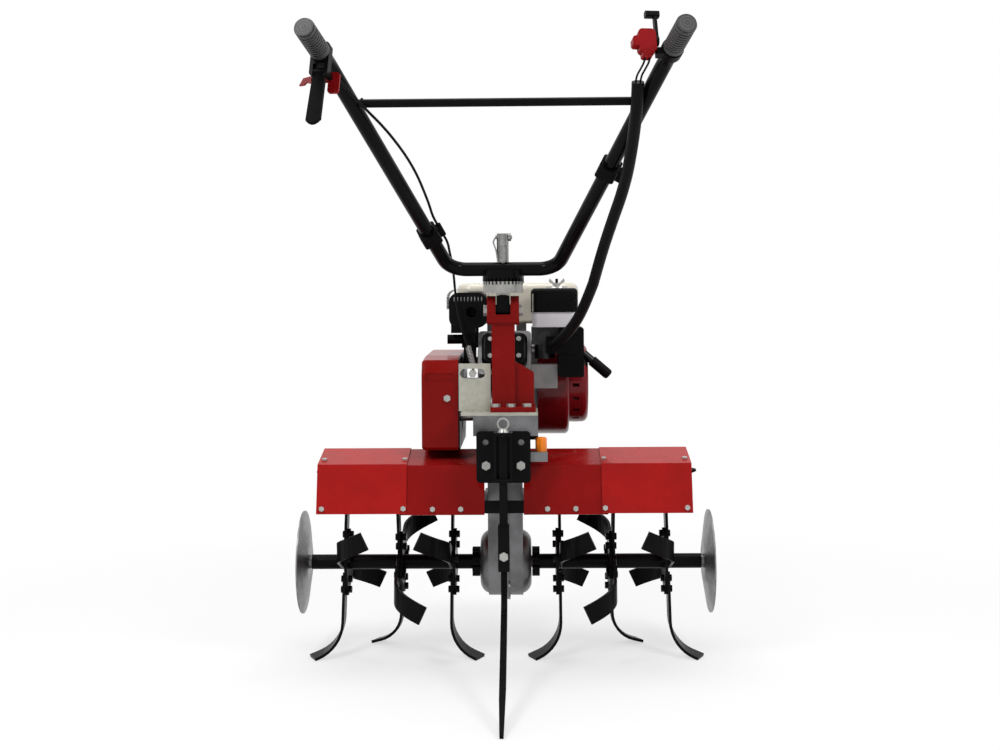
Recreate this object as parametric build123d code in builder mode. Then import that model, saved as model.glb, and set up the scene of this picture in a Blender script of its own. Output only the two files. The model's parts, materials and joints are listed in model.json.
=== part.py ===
"""Garden tiller with a finned engine, belt and chain drive, tine axle, mudguards and swivelling handlebar.

Millimetres. X points to the operator's right, Y forwards, Z up. The pieces are laid out about the tine axle
at Y = 0 above the floor at Z = 0, and at the end the whole machine is moved so that the origin lies on the
floor under the middle of its outline.
"""

import os
from math import cos, pi, radians, sin, tan

from build123d import *

# Fits
FACE_GAP = 0.3  # between curved or moving faces of different pieces
RUNNING_GAP = 0.05  # radial clearance of a shaft in its bearing
BOLT_GAP = 0.4  # radial clearance of a bolt in its hole

# Axle, tines and discs
AXLE_Z = 188.0
SHAFT_D = 25.0
HUB_TUBE_D = 31.0
COLLAR_D = 62.0
COLLAR_T = 16.0
SET_X = (105.0, 216.0, 332.0)
FLANGE_SIDE = 104.0
FLANGE_T = 6.0
BLADE_W = 38.0
BLADE_T = 6.0
BLADE_ROOT = 25.0
BEND_TILT = 26.0
BEND_ANGLE = 75.0
BEND_R = 60.0
BLADE_END = 16.0
BEND_STEPS = 8
BLADE_LEAN = 18.0
TINE_BOLT_R = (36.0, 58.0)
TINE_BOLT_D = 8.0
DISC_X = 416.0
DISC_D = 215.0
DISC_DISH = 12.0
DISC_T = 3.0
DISC_HUB_D = 84.0
STUB_D = 28.0
STUB_IN = 40.0
HUB_END_X = 412.0
HUB_JOINT_X = 232.0

# Chain case
CASE_HALF = 36.0
CASE_WALL = 6.0
CASE_LOW_R = 70.0
CASE_TOP_R = 46.0
CASE_RIM = 9.0
CASE_BOLT_D = 5.0
RIM_T = 6.0
INPUT_Y = -45.0
INPUT_Z = 500.0
INPUT_D = 20.0
DOME_R = 66.0
DOME_TIP_R = 36.0
DOME_SWELL = 6.0
DOME_X = 53.0
INPUT_BOSS_R = 34.0
INPUT_BOSS_X = 52.0
AXLE_BEARING = (52.0, 15.0)
INPUT_BEARING = (47.0, 14.0)
SEAL_T = 6.0
SEAL_LIP = 6.0
LOW_SPROCKET_R = 48.0
TOP_SPROCKET_R = 16.0
CHAIN_W = 12.0
CHAIN_H = 9.0
HORN_REAR_Y = -235.0
HORN_FLANGE_X = 46.0
HORN_FLANGE_T = 14.0
HORN_Z = (395.0, 480.0)
DECK_Y = (-215.0, -105.0)
DECK_X = (-60.0, 68.0)
DECK_Z = 515.0
DECK_T = 40.0
NOSE_Y = 110.0
NOSE_Z = (385.0, 442.0)
FILLER_X = 74.0
FILLER_Y = -202.0
FILLER_Z = 443.0
PLUG_D = 21.0
PLUG_H = 28.0

# Belt drive
BELT_X = -130.0
BELT_W = 13.0
BELT_T = 9.0
DRIVEN_R = 52.0
DRIVE_R = 32.0
PULLEY_W = 22.0
COVER_X = (-166.0, -92.0)
COVER_REAR_Y = -160.0
COVER_LOW_Z = 441.0
COVER_SHOULDER_Z = 600.0
COVER_TOP_R = 75.0
COVER_WALL = 2.0
COVER_RIM = 5.0
COVER_RECESS_Z = (580.0, 596.0)
COVER_SCREW_X = -114.0
COVER_SCREW_Z = 546.0
COVER_SCREW_D = 8.0
BACK_T = 3.0
IDLER_PIVOT = (118.0, 609.0)
IDLER_AT = (42.0, 597.0)
IDLER_R = 21.0

# Engine
CRANK_Y = 150.0
CRANK_Z = 556.0
CRANK_D = 25.0
BLOCK_X = (-60.0, 70.0)
BLOCK_Y = (62.0, 240.0)
BLOCK_Z = (450.0, 640.0)
BORE_TILT = 25.0
FIN_T = 2.6
FIN_STEP = 8.0
FIN_COUNT = 5
FIN_SIZE = (114.0, 108.0)
HEAD_AT = 140.0
HEAD_T = 38.0
HEAD_SIZE = (112.0, 98.0)
VALVE_COVER_T = 26.0
VALVE_COVER_SIZE = (96.0, 74.0)
VALVE_COVER_WALL = 3.0
VALVE_BOLT_D = 6.0
COWL_X = 111.0
COWL_Y = (-28.0, 30.0)
COWL_Z = (556.0, 606.0)
PLUG_AT = (26.0, 36.0)
BOOT_D = 20.0
BOOT_LONG = 50.0
FAN_R = 112.0
FAN_X = 138.0
RECOIL_R = 86.0
RECOIL_X = 180.0
HOUSING_WALL = 3.0
FLYWHEEL_R = 88.0
TANK_X = (-105.0, 160.0)
TANK_Y = (62.0, 272.0)
TANK_Z = (690.0, 778.0)
TANK_WALL = 2.0
CAP_R = 24.0
MUFFLER_X = (-116.0, -36.0)
MUFFLER_Y = (-34.0, 54.0)
MUFFLER_Z = (684.0, 758.0)
MUFFLER_WALL = 2.0
MUFFLER_SUMP_X = (-112.0, -60.0)
MUFFLER_SUMP_Z = 673.0
MUFFLER_NECK_X = -92.0
MUFFLER_NECK_Y = (27.0, 36.0)
MUFFLER_NECK_Z = 640.0
HEAT_PLATE_X = (-87.0, -60.0)
HEAT_PLATE_Y = (-1.0, 2.0)
HEAT_PLATE_Z = 598.0
OUTLET_R = 15.0
OUTLET_LONG = 12.0
SHIELD_T = 1.5
SHIELD_STAND = 5.0
FILTER_X = (56.0, 154.0)
FILTER_Y = (-58.0, 44.0)
FILTER_Z = (685.0, 716.0, 766.0)
CARB_X = (56.5, 112.0)
CARB_Y = (-38.0, 22.0)
CARB_LOW_Z = 618.0
CONTROL_X = 166.0
CONTROL_Y = (-52.0, 38.0)
CONTROL_Z = (580.0, 684.6)
HANDLE_AT = (188.5, 92.0, 608.0)
HANDLE_LONG = 50.0
HANDLE_SECTION = (32.0, 23.0)
HANDLE_DROP = 41.0
ROPE_GUIDE_D = 18.0
ROPE_GUIDE_LONG = 24.0
PLATE_T = 8.0
PLATE_REAR_Y = 30.0

# Steering column and handle joint
COLUMN_Y = -160.0
COLUMN_W = 46.0
COLUMN_WALL = 4.0
FOOT_X = (-26.0, 64.0)
FOOT_T = 10.0
SHEET_T = 6.0
FORK_Z = 712.0
PIVOT_Z = 722.0
EAR_T = 17.0
EAR_R = 29.0
FORK_GAP = 30.0
FORK_BASE_T = 14.0
FORK_ROOM_R = 21.0
TONGUE_T = 26.0
TONGUE_R = 18.0
PIVOT_D = 12.0
HEAD_Z = 757.0
TOOTH_R = 40.0
TOOTH_DISC_T = 23.0
TEETH = 30
TOOTH_H = 6.0
STUD_D = 14.0
CLAMP_D = 24.0
CLAMP_H = 57.0

# Handlebar
BAR_D = 28.0
BAR_WALL = 2.5
BAR_Z = 805.0
BAR_CORNER_X = 107.0
BAR_CORNER_R = 47.0
ELBOW = (286.0, -622.0, 1149.0)
ELBOW_R = 80.0
BAR_END = (307.0, -742.0, 1187.0)
CROSS_AT = 0.83
CROSS_D = 15.0
GRIP_D = 35.0
GRIP_LONG = 80.0
GRIP_RINGS = 9
CLIP_AT = (0.19, 0.52)
CLIP_LONG = 28.0
CLIP_W = 38.0
CLIP_EAR = 24.0
CABLE_PLAY = 1.6
ADJUSTER_OUT = 14.0
CABLE_D = 5.0
THIN_CABLE_D = 3.5
CORD_MAX_R = 3000.0
LOOM_D = 22.0
LOOM_END = (101.0, -56.0, 646.0)

# Hand controls
CONTROL_LONG = 18.0
LEVER_W = 26.0
LEVER_T = 6.0
LEVER_LONG = 126.0
LEVER_END = 9.0
LEVER_DROP = 34.0
LEVER_PIN_D = 8.0
LEVER_REACH = (0.66, 0.75)
LOCK_DROP = 36.0
LOCK_OUT = 6.0
THROTTLE_X = -27.0
THROTTLE_SIZE = (30.0, 42.0)
THROTTLE_STUB_X = -43.0
THROTTLE_LEVER = 47.0

# Mudguards
GUARD_T = 2.0
GUARD_LINE = ((-205.0, 318.0), (-180.0, 413.0), (-78.0, 434.0), (150.0, 390.0))
GUARD_INNER_X = (39.0, 206.0)
GUARD_OUTER_X = (194.0, 373.0)
GUARD_LAP = (-2.5, 2.7)
GUARD_BOLT_RISE = (11.0, 12.0)
SUPPORT_RISE = 16.0
SUPPORT_HALF = 165.0
SUPPORT_T = 6.0
SUPPORT_H = 25.0

# Drag bar
BRACKET_W = 106.0
BRACKET_Z = (386.0, 487.0)
BRACKET_T = 6.0
BRACKET_BOLTS_X = 34.0
BRACKET_BOLTS_Z = 420.0
BRACKET_UP_X = (-90.0, -26.0)
BRACKET_UP_Y = (-170.0, -166.0)
BRACKET_UP_Z = 616.0
BRACKET_SIDE_X = -84.0
CABLE_SLOT = (50.0, 19.0)
HITCH_HOLE_X = 35.0
HITCH_HOLE_D = 12.0
HITCH_HOLE_DROP = 22.0
CHANNEL_W = 36.0
CHANNEL_D = 36.0
CHANNEL_WALL = 5.0
STALK_W = 16.0
STALK_D = 26.0
SLEEVE_W = 22.0
SLEEVE_Z = (219.0, 306.0)
SLEEVE_WALL = 4.0
SPUR_W = 12.0
SPUR_TIP_W = 7.0
SPUR_TAPER = 45.0
SPUR_D = 28.0
SPUR_BEND_Z = 150.0
SPUR_TIP_Y = -606.0
SPUR_BEND_R = 60.0
SPUR_TRAVEL = 28.0
HITCH_PIN_D = 12.0

finished = {}


def finish(name, piece):
    """Name a finished piece and keep it for the layout at the end."""
    piece.label = name
    finished[name] = piece


def side(x):
    """Drawing plane seen from the right-hand side: Y across, Z up, at this X."""
    return Plane.YZ.offset(x)


def rear(y):
    """Drawing plane seen from behind: X across, Z up, at this Y. Its normal points to the rear."""
    return Plane.XZ.offset(-y)


def level(z):
    """Horizontal drawing plane at this height."""
    return Plane.XY.offset(z)


def facing(point, direction, across=None):
    """Plane at a point whose normal points along the direction."""
    return Plane(origin=point, x_dir=across, z_dir=direction)


def middle(span):
    """Middle of a span."""
    return (span[0] + span[1]) / 2


def length(span):
    """Length of a span."""
    return span[1] - span[0]


def block(x_span, y_span, z_span, mode=Mode.ADD):
    """Rectangular block between spans."""
    with Locations((middle(x_span), middle(y_span), middle(z_span))):
        Box(length(x_span), length(y_span), length(z_span), mode=mode)


def drill(planes, radius, depth, mode=Mode.SUBTRACT):
    """Round holes, or pins, running into the piece from each plane."""
    with BuildSketch(*planes) as rounds:
        Circle(radius)
    extrude(rounds.sketch, amount=-depth, mode=mode)


def bolts(planes, thread, long, head=None):
    """Hexagon bolts whose heads sit on the planes and whose shanks run into them."""
    with BuildSketch(*planes) as hexagons:
        RegularPolygon(radius=thread * 0.92, side_count=6)
    extrude(hexagons.sketch, amount=head or thread * 0.62)
    drill(planes, thread / 2, long, mode=Mode.ADD)


def mirrored(name, piece):
    """Keep a left-hand copy of a right-hand piece."""
    finish(name, mirror(piece, about=Plane.YZ, mode=Mode.PRIVATE))


# Gear case: two halves about the middle plane, each with its bearing seats
def draw_case(grow):
    """Outline of the chain case seen from the side."""
    with Locations((0, AXLE_Z)):
        Circle(CASE_LOW_R + grow)
    with Locations((INPUT_Y, INPUT_Z)):
        Circle(CASE_TOP_R + grow)
    make_hull()


case_bolt_spots = []
for turn in (-150, -105, -60, -15):
    case_bolt_spots.append((
        (CASE_LOW_R + CASE_RIM * 0.55) * cos(radians(turn)),
        AXLE_Z + (CASE_LOW_R + CASE_RIM * 0.55) * sin(radians(turn)),
    ))
axle_line = (0, AXLE_Z)
input_line = (INPUT_Y, INPUT_Z)


def case_half(sign):
    """One half of the chain case, on the right for a positive sign."""
    deck_end = DECK_X[1] if sign > 0 else -DECK_X[0]
    with BuildPart() as half:
        with BuildSketch(side(0)):
            draw_case(0)
        extrude(amount=CASE_HALF)
        with BuildSketch(side(0)):
            draw_case(CASE_RIM)
        extrude(amount=RIM_T)
        block((0, CASE_HALF), (HORN_REAR_Y, INPUT_Y), HORN_Z)
        block((0, HORN_FLANGE_X), (HORN_REAR_Y, HORN_REAR_Y + HORN_FLANGE_T), HORN_Z)
        block((0, deck_end), DECK_Y, (DECK_Z - DECK_T, DECK_Z))
        block((0, CASE_HALF), (INPUT_Y, NOSE_Y), NOSE_Z)
        dome_start = (CASE_HALF, DOME_R)
        dome_end = (DOME_X, DOME_TIP_R)
        dome_swell = (middle((CASE_HALF, DOME_X)) + DOME_SWELL, middle((DOME_R, DOME_TIP_R)) + DOME_SWELL / 2)
        with BuildSketch(level(AXLE_Z)):
            with BuildLine():
                ThreePointArc(dome_start, dome_swell, dome_end)
                Polyline(dome_end, (DOME_X, 0), (CASE_HALF, 0), dome_start)
            make_face()
        revolve(axis=Axis((0, 0, AXLE_Z), (1, 0, 0)))
        with BuildSketch(side(CASE_HALF)):
            with Locations(input_line):
                Circle(INPUT_BOSS_R)
        extrude(amount=INPUT_BOSS_X - CASE_HALF)
        if sign > 0:
            filler_x = (CASE_HALF, FILLER_X + PLUG_D * 0.6)
            block(filler_x, (FILLER_Y - 14, FILLER_Y + 14), (FILLER_Z - 19, FILLER_Z))
        with BuildSketch(side(0)):
            draw_case(-CASE_WALL - 2)
        extrude(amount=CASE_HALF - CASE_WALL, mode=Mode.SUBTRACT)
        bearing_seat(axle_line, AXLE_BEARING, DOME_X)
        bearing_seat(input_line, INPUT_BEARING, INPUT_BOSS_X)
        with BuildSketch(side(0)):
            with Locations(*case_bolt_spots):
                Circle(CASE_BOLT_D / 2 + BOLT_GAP)
        extrude(amount=RIM_T, mode=Mode.SUBTRACT)
        drill(bracket_bolt_planes, 5 + BOLT_GAP, HORN_FLANGE_T)
        drill(column_bolt_planes, 5 + BOLT_GAP, 40)
        drill(support_bolt_planes, 4 + BOLT_GAP, 24)
        drill(cradle_bolt_planes, 5 + BOLT_GAP, 40)
    return half.part


def bearing_seat(line, bearing, outer_x):
    """Seat for a bearing and its seal, opening from inside the case, with the shaft's way out."""
    seat_end = outer_x - SEAL_T
    with BuildSketch(side(CASE_WALL)) as seat:
        with Locations(line):
            Circle(bearing[0] / 2)
    extrude(seat.sketch, amount=seat_end - CASE_WALL, mode=Mode.SUBTRACT)
    with BuildSketch(side(seat_end)) as way_out:
        with Locations(line):
            Circle(bearing[0] / 2 - SEAL_LIP)
    extrude(way_out.sketch, amount=SEAL_T, mode=Mode.SUBTRACT)


# Bolt places on the case and frame, each plane lying on the seat of the bolt head
bracket_face_y = HORN_REAR_Y - BRACKET_T
bracket_bolt_planes = []
bracket_head_planes = []
for bolt_x in (-BRACKET_BOLTS_X, BRACKET_BOLTS_X):
    bracket_bolt_planes.append(facing((abs(bolt_x), HORN_REAR_Y, BRACKET_BOLTS_Z), (0, -1, 0)))
    bracket_head_planes.append(facing((bolt_x, bracket_face_y, BRACKET_BOLTS_Z), (0, -1, 0)))

column_base_z = DECK_Z + SHEET_T
column_top_of_foot = column_base_z + FOOT_T
column_bolt_places = ((46, -128), (46, -192), (-15, -197), (15, -197))
column_bolt_planes = []
column_head_planes = []
for bolt_x, bolt_y in column_bolt_places:
    column_head_planes.append(facing((bolt_x, bolt_y, column_top_of_foot), (0, 0, 1)))
    column_bolt_planes.append(facing((abs(bolt_x), bolt_y, DECK_Z), (0, 0, 1)))

support_z = GUARD_LINE[0][1] + 4 + SUPPORT_H / 2
support_bolt_planes = []
support_head_planes = []
for bolt_y in (-62, -30):
    support_bolt_planes.append(facing((CASE_HALF, bolt_y, support_z), (1, 0, 0)))
    for sign in (-1, 1):
        support_head_planes.append(facing((sign * (CASE_HALF + SUPPORT_T), bolt_y, support_z), (sign, 0, 0)))

cradle_top_z = NOSE_Z[1] + PLATE_T
cradle_bolt_planes = []
cradle_head_planes = []
for bolt_y in (PLATE_REAR_Y + 14, NOSE_Y - 18):
    cradle_bolt_planes.append(facing((20, bolt_y, NOSE_Z[1]), (0, 0, 1)))
    for sign in (-1, 1):
        cradle_head_planes.append(facing((sign * 20, bolt_y, NOSE_Z[1]), (0, 0, 1)))

finish("gearbox_case_right", case_half(1))
finish("gearbox_case_left", mirror(case_half(-1), about=Plane.YZ, mode=Mode.PRIVATE))

with BuildPart() as oil_filler_plug:
    with BuildSketch(level(FILLER_Z)):
        with Locations((FILLER_X, FILLER_Y)):
            RegularPolygon(radius=PLUG_D * 0.54, side_count=8)
    extrude(amount=PLUG_H)
    chamfer(oil_filler_plug.edges().group_by(Axis.Z)[-1], 2)
finish("oil_filler_plug", oil_filler_plug.part)


# Shafts inside the case, with the sprockets they carry
def sprocket(line, pitch_r, teeth, half_width):
    """Toothed wheel about a cross shaft; its teeth stay just inside the chain's rollers."""
    with BuildSketch(side(-half_width)) as wheel:
        with Locations(line):
            Circle(pitch_r - CHAIN_H / 2 - FACE_GAP - 2)
            with PolarLocations(pitch_r - CHAIN_H / 2 - FACE_GAP - 4, teeth):
                Circle(4)
    extrude(wheel.sketch, amount=2 * half_width)


with BuildPart() as output_shaft:
    with BuildSketch(side(-HUB_JOINT_X - 60)):
        with Locations(axle_line):
            Circle(SHAFT_D / 2)
    extrude(amount=2 * (HUB_JOINT_X + 60))
    sprocket(axle_line, LOW_SPROCKET_R, 26, 4)
finish("output_shaft", output_shaft.part)

with BuildPart() as input_shaft:
    with BuildSketch(side(BELT_X - PULLEY_W / 2 - 6)):
        with Locations(input_line):
            Circle(INPUT_D / 2)
    extrude(amount=INPUT_BOSS_X - SEAL_T - BELT_X + PULLEY_W / 2 + 6)
    sprocket(input_line, TOP_SPROCKET_R, 9, 4)
finish("input_shaft", input_shaft.part)


def draw_loop(small_line, small_r, large_line, large_r):
    """Outline of a loop drawn tight round two wheels."""
    with Locations(small_line):
        Circle(small_r)
    with Locations(large_line):
        Circle(large_r)
    make_hull()


with BuildPart() as drive_chain:
    with BuildSketch(side(-CHAIN_W / 2)) as chain_loop:
        draw_loop(input_line, TOP_SPROCKET_R + CHAIN_H / 2, axle_line, LOW_SPROCKET_R + CHAIN_H / 2)
    extrude(amount=CHAIN_W)
    with BuildSketch(side(-CHAIN_W / 2)):
        draw_loop(input_line, TOP_SPROCKET_R - CHAIN_H / 2, axle_line, LOW_SPROCKET_R - CHAIN_H / 2)
    extrude(amount=CHAIN_W, mode=Mode.SUBTRACT)
finish("drive_chain", drive_chain.part)


def ring_pair(line, outer_r, inner_r, start_x, wide):
    """The same ring on both sides of the middle plane."""
    for sign in (-1, 1):
        with BuildSketch(side(sign * start_x)) as ring:
            with Locations(line):
                Circle(outer_r)
                Circle(inner_r, mode=Mode.SUBTRACT)
        extrude(ring.sketch, amount=sign * wide)


with BuildPart() as bearings:
    ring_pair(axle_line, AXLE_BEARING[0] / 2 - RUNNING_GAP, SHAFT_D / 2 + RUNNING_GAP,
              DOME_X - SEAL_T - AXLE_BEARING[1], AXLE_BEARING[1])
    ring_pair(input_line, INPUT_BEARING[0] / 2 - RUNNING_GAP, INPUT_D / 2 + RUNNING_GAP,
              INPUT_BOSS_X - SEAL_T - INPUT_BEARING[1], INPUT_BEARING[1])
    ring_pair(axle_line, AXLE_BEARING[0] / 2 - SEAL_LIP - RUNNING_GAP, SHAFT_D / 2 + RUNNING_GAP,
              DOME_X - SEAL_T + FACE_GAP, SEAL_T - FACE_GAP)
    ring_pair(input_line, INPUT_BEARING[0] / 2 - SEAL_LIP - RUNNING_GAP, INPUT_D / 2 + RUNNING_GAP,
              INPUT_BOSS_X - SEAL_T + FACE_GAP, SEAL_T - FACE_GAP)
finish("bearings", bearings.part)

# Tine hubs: a tube with collar and two flanges, and an outer tube with one flange, on each side
collar_x = DOME_X + 2


def hub_tube(start_x, end_x):
    """Tube on the output shaft."""
    with BuildSketch(side(start_x)) as tube:
        with Locations(axle_line):
            Circle(HUB_TUBE_D / 2)
            Circle(SHAFT_D / 2 + RUNNING_GAP, mode=Mode.SUBTRACT)
    extrude(tube.sketch, amount=end_x - start_x)


def hub_flange(x, lean):
    """Square plate whose corners point along its four blades."""
    with BuildSketch(side(x)) as plate:
        with Locations(Location((0, AXLE_Z, 0), (0, 0, 45 - lean))):
            RectangleRounded(FLANGE_SIDE, FLANGE_SIDE, 8)
            Circle(HUB_TUBE_D / 2 - 1, mode=Mode.SUBTRACT)
    extrude(plate.sketch, amount=FLANGE_T)


# Blade: a flat bar bent about an axis that lies slantwise across it
bend_tilt = radians(BEND_TILT)
bend_angle = radians(BEND_ANGLE)
middle_r = BEND_R + BLADE_T / 2


def blade_point(along, across, up):
    """Point of the bent bar: along it from the bend line, across its width, up from its middle face.

    The answer is (sideways, leading, outward) from the point where the bend starts.
    """
    u = along * cos(bend_tilt) - across * sin(bend_tilt)
    v = along * sin(bend_tilt) + across * cos(bend_tilt)
    turn = min(max(u / middle_r, 0), bend_angle)
    rest = u - turn * middle_r
    reach = (middle_r + up) * sin(turn) + rest * cos(turn)
    sideways = middle_r - (middle_r + up) * cos(turn) + rest * sin(turn)
    outward = reach * cos(bend_tilt) + v * sin(bend_tilt)
    leading = v * cos(bend_tilt) - reach * sin(bend_tilt)
    return sideways, leading, outward


def bend_line(across, turned):
    """Distance along the bar at which one of its edges has turned by this much."""
    return (turned * middle_r + across * sin(bend_tilt)) / cos(bend_tilt)


half_w = BLADE_W / 2
tip_along = middle_r * bend_angle / cos(bend_tilt) + BLADE_END
tip_points = []
for edge in (-half_w, half_w):
    for skin in (-BLADE_T / 2, BLADE_T / 2):
        tip_points.append(blade_point(tip_along, edge, skin))


def blade_drop(bend_at, lean):
    """How far below the axle the tip of a leaning blade reaches."""
    turn = radians(lean)
    return max((bend_at + out) * cos(turn) - lead * sin(turn) for _, lead, out in tip_points)


bend_at = AXLE_Z / cos(radians(BLADE_LEAN))
bend_at = bend_at - (blade_drop(bend_at, BLADE_LEAN) - AXLE_Z) / cos(radians(BLADE_LEAN))


def blade_faces(face_x, bend_way, lead_way, turn):
    """Cross-sections of one blade from root to tip, set round the axle."""
    sections = []
    stations = [(None, BLADE_ROOT - bend_at)]
    for step in range(BEND_STEPS + 1):
        stations.append((bend_angle * step / BEND_STEPS, None))
    stations.append((None, tip_along))
    for turned, straight in stations:
        corners = []
        for edge, skin in ((-1, -1), (1, -1), (1, 1), (-1, 1)):
            across = edge * half_w
            along = straight if turned is None else bend_line(across, turned)
            sideways, lead, out = blade_point(along, across, -skin * BLADE_T / 2)
            radius = bend_at + out
            corners.append((
                face_x + bend_way * sideways,
                -lead_way * lead * cos(turn) - radius * sin(turn),
                AXLE_Z + lead_way * lead * sin(turn) - radius * cos(turn),
            ))
        sections.append(Face(Wire.make_polygon([Vector(*corner) for corner in corners])))
    return sections


def blade_set(set_index, sign):
    """Four blades of one set; each is a separate bar bolted to the flange."""
    outward_first = (-1, 1, 1)[set_index]
    lean = lean_of_set(set_index)
    face_x = sign * (SET_X[set_index] + FLANGE_T + BLADE_T / 2)
    with BuildPart() as blades:
        for quarter in range(4):
            bend_way = sign * outward_first * (1 if quarter % 2 == 0 else -1)
            lead_way = -1 if set_index == 1 else 1
            loft(sections=blade_faces(face_x, bend_way, lead_way, radians(lean + 90 * quarter)), ruled=True)
        drill(tine_bolt_planes(set_index, sign), TINE_BOLT_D / 2 + BOLT_GAP, BLADE_T + 1)
    return blades.part


def lean_of_set(set_index):
    """How far the lowest blade of a set leans to the rear; the middle set is turned end for end."""
    return -BLADE_LEAN if set_index == 1 else BLADE_LEAN


def tine_bolt_planes(set_index, sign):
    """Seats of the bolt heads on the blades of one set."""
    planes = []
    seat_x = sign * (SET_X[set_index] + FLANGE_T + BLADE_T)
    for quarter in range(4):
        turn = radians(lean_of_set(set_index) + 90 * quarter)
        for radius in TINE_BOLT_R:
            spot = (seat_x, -radius * sin(turn), AXLE_Z - radius * cos(turn))
            planes.append(facing(spot, (sign, 0, 0)))
    return planes


with BuildPart() as hub_side:
    with BuildSketch(side(collar_x)):
        with Locations(axle_line):
            Circle(COLLAR_D / 2)
            Circle(SHAFT_D / 2 + RUNNING_GAP, mode=Mode.SUBTRACT)
            with PolarLocations(COLLAR_D / 2 + 3, 8):
                Circle(8, mode=Mode.SUBTRACT)
    extrude(amount=COLLAR_T)
    hub_tube(collar_x, HUB_JOINT_X)
    hub_flange(SET_X[0], lean_of_set(0))
    hub_flange(SET_X[1], lean_of_set(1))
    hub_tube(HUB_JOINT_X + 1, HUB_END_X)
    hub_flange(SET_X[2], lean_of_set(2))
    for set_index in range(3):
        drill(tine_bolt_planes(set_index, 1), TINE_BOLT_D / 2 + BOLT_GAP, FLANGE_T + BLADE_T + 1)
with BuildPart() as tine_hubs:
    add(hub_side.part)
    mirror(about=Plane.YZ)
finish("tine_hubs", tine_hubs.part)

for set_index, set_name in enumerate(("tines_inner", "tines_middle", "tines_outer")):
    with BuildPart() as tines:
        add(blade_set(set_index, -1))
        add(blade_set(set_index, 1))
    finish(set_name, tines.part)

with BuildPart() as tine_bolts:
    for sign in (-1, 1):
        for set_index in range(3):
            heads = tine_bolt_planes(set_index, sign)
            bolts(heads, TINE_BOLT_D, FLANGE_T + BLADE_T)
            nuts = [plane.offset(-FLANGE_T - BLADE_T) for plane in heads]
            with BuildSketch(*nuts):
                RegularPolygon(radius=TINE_BOLT_D * 0.92, side_count=6)
            extrude(amount=-TINE_BOLT_D * 0.8)
finish("tine_bolts", tine_bolts.part)

with BuildPart() as side_discs:
    for sign in (-1, 1):
        with BuildSketch(rear(0)):
            with BuildLine():
                Polyline(
                    (sign * DISC_X, AXLE_Z),
                    (sign * DISC_X, AXLE_Z + DISC_HUB_D / 2),
                    (sign * (DISC_X + DISC_DISH), AXLE_Z + DISC_D / 2),
                    (sign * (DISC_X + DISC_DISH + DISC_T), AXLE_Z + DISC_D / 2),
                    (sign * (DISC_X + DISC_T), AXLE_Z + DISC_HUB_D / 2),
                    (sign * (DISC_X + DISC_T), AXLE_Z),
                    close=True,
                )
            make_face()
        revolve(axis=Axis((0, 0, AXLE_Z), (1, 0, 0)))
        with BuildSketch(side(sign * (HUB_END_X - STUB_IN))):
            with Locations(axle_line):
                Circle(SHAFT_D / 2)
        extrude(amount=sign * (DISC_X - HUB_END_X + STUB_IN))
        with BuildSketch(side(sign * HUB_END_X)):
            with Locations(axle_line):
                Circle(STUB_D / 2)
        extrude(amount=sign * (DISC_X - HUB_END_X))
finish("side_discs", side_discs.part)


# Belt drive: pulleys, belt, idler, cover and back plate
def pulley(line, radius, shaft):
    """Grooved pulley in the belt's plane."""
    with BuildSketch(side(BELT_X - PULLEY_W / 2)) as wheel:
        with Locations(line):
            Circle(radius)
            Circle(shaft / 2 + RUNNING_GAP, mode=Mode.SUBTRACT)
    extrude(wheel.sketch, amount=PULLEY_W)
    with BuildSketch(side(BELT_X - BELT_W / 2 - FACE_GAP)) as groove:
        with Locations(line):
            Circle(radius + 1)
            Circle(radius - BELT_T - 2, mode=Mode.SUBTRACT)
    extrude(groove.sketch, amount=BELT_W + 2 * FACE_GAP, mode=Mode.SUBTRACT)


crank_line = (CRANK_Y, CRANK_Z)
with BuildPart() as driven_pulley:
    pulley(input_line, DRIVEN_R, INPUT_D)
finish("driven_pulley", driven_pulley.part)

with BuildPart() as drive_pulley:
    pulley(crank_line, DRIVE_R, CRANK_D)
finish("drive_pulley", drive_pulley.part)

belt_lift = 2 - FACE_GAP
with BuildPart() as v_belt:
    with BuildSketch(side(BELT_X - BELT_W / 2)):
        draw_loop(crank_line, DRIVE_R - belt_lift, input_line, DRIVEN_R - belt_lift)
    extrude(amount=BELT_W)
    with BuildSketch(side(BELT_X - BELT_W / 2)):
        draw_loop(crank_line, DRIVE_R - belt_lift - BELT_T, input_line, DRIVEN_R - belt_lift - BELT_T)
    extrude(amount=BELT_W, mode=Mode.SUBTRACT)
finish("v_belt", v_belt.part)

arm_x = COVER_X[1] - BACK_T - 4
with BuildPart() as idler_arm:
    with BuildSketch(side(arm_x - 6)):
        with BuildLine():
            Line(IDLER_PIVOT, IDLER_AT)
        trace(line_width=20)
        with Locations(IDLER_PIVOT, IDLER_AT):
            Circle(10)
        with Locations(IDLER_PIVOT):
            Circle(5 + RUNNING_GAP, mode=Mode.SUBTRACT)
    extrude(amount=6)
    with BuildSketch(side(arm_x - 6)):
        with Locations(IDLER_AT):
            Circle(6)
    extrude(amount=BELT_X - BELT_W / 2 - arm_x + 2)
    with BuildSketch(side(BELT_X - BELT_W / 2)):
        with Locations(IDLER_AT):
            Circle(IDLER_R)
    extrude(amount=BELT_W)
finish("idler_arm", idler_arm.part)


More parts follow.
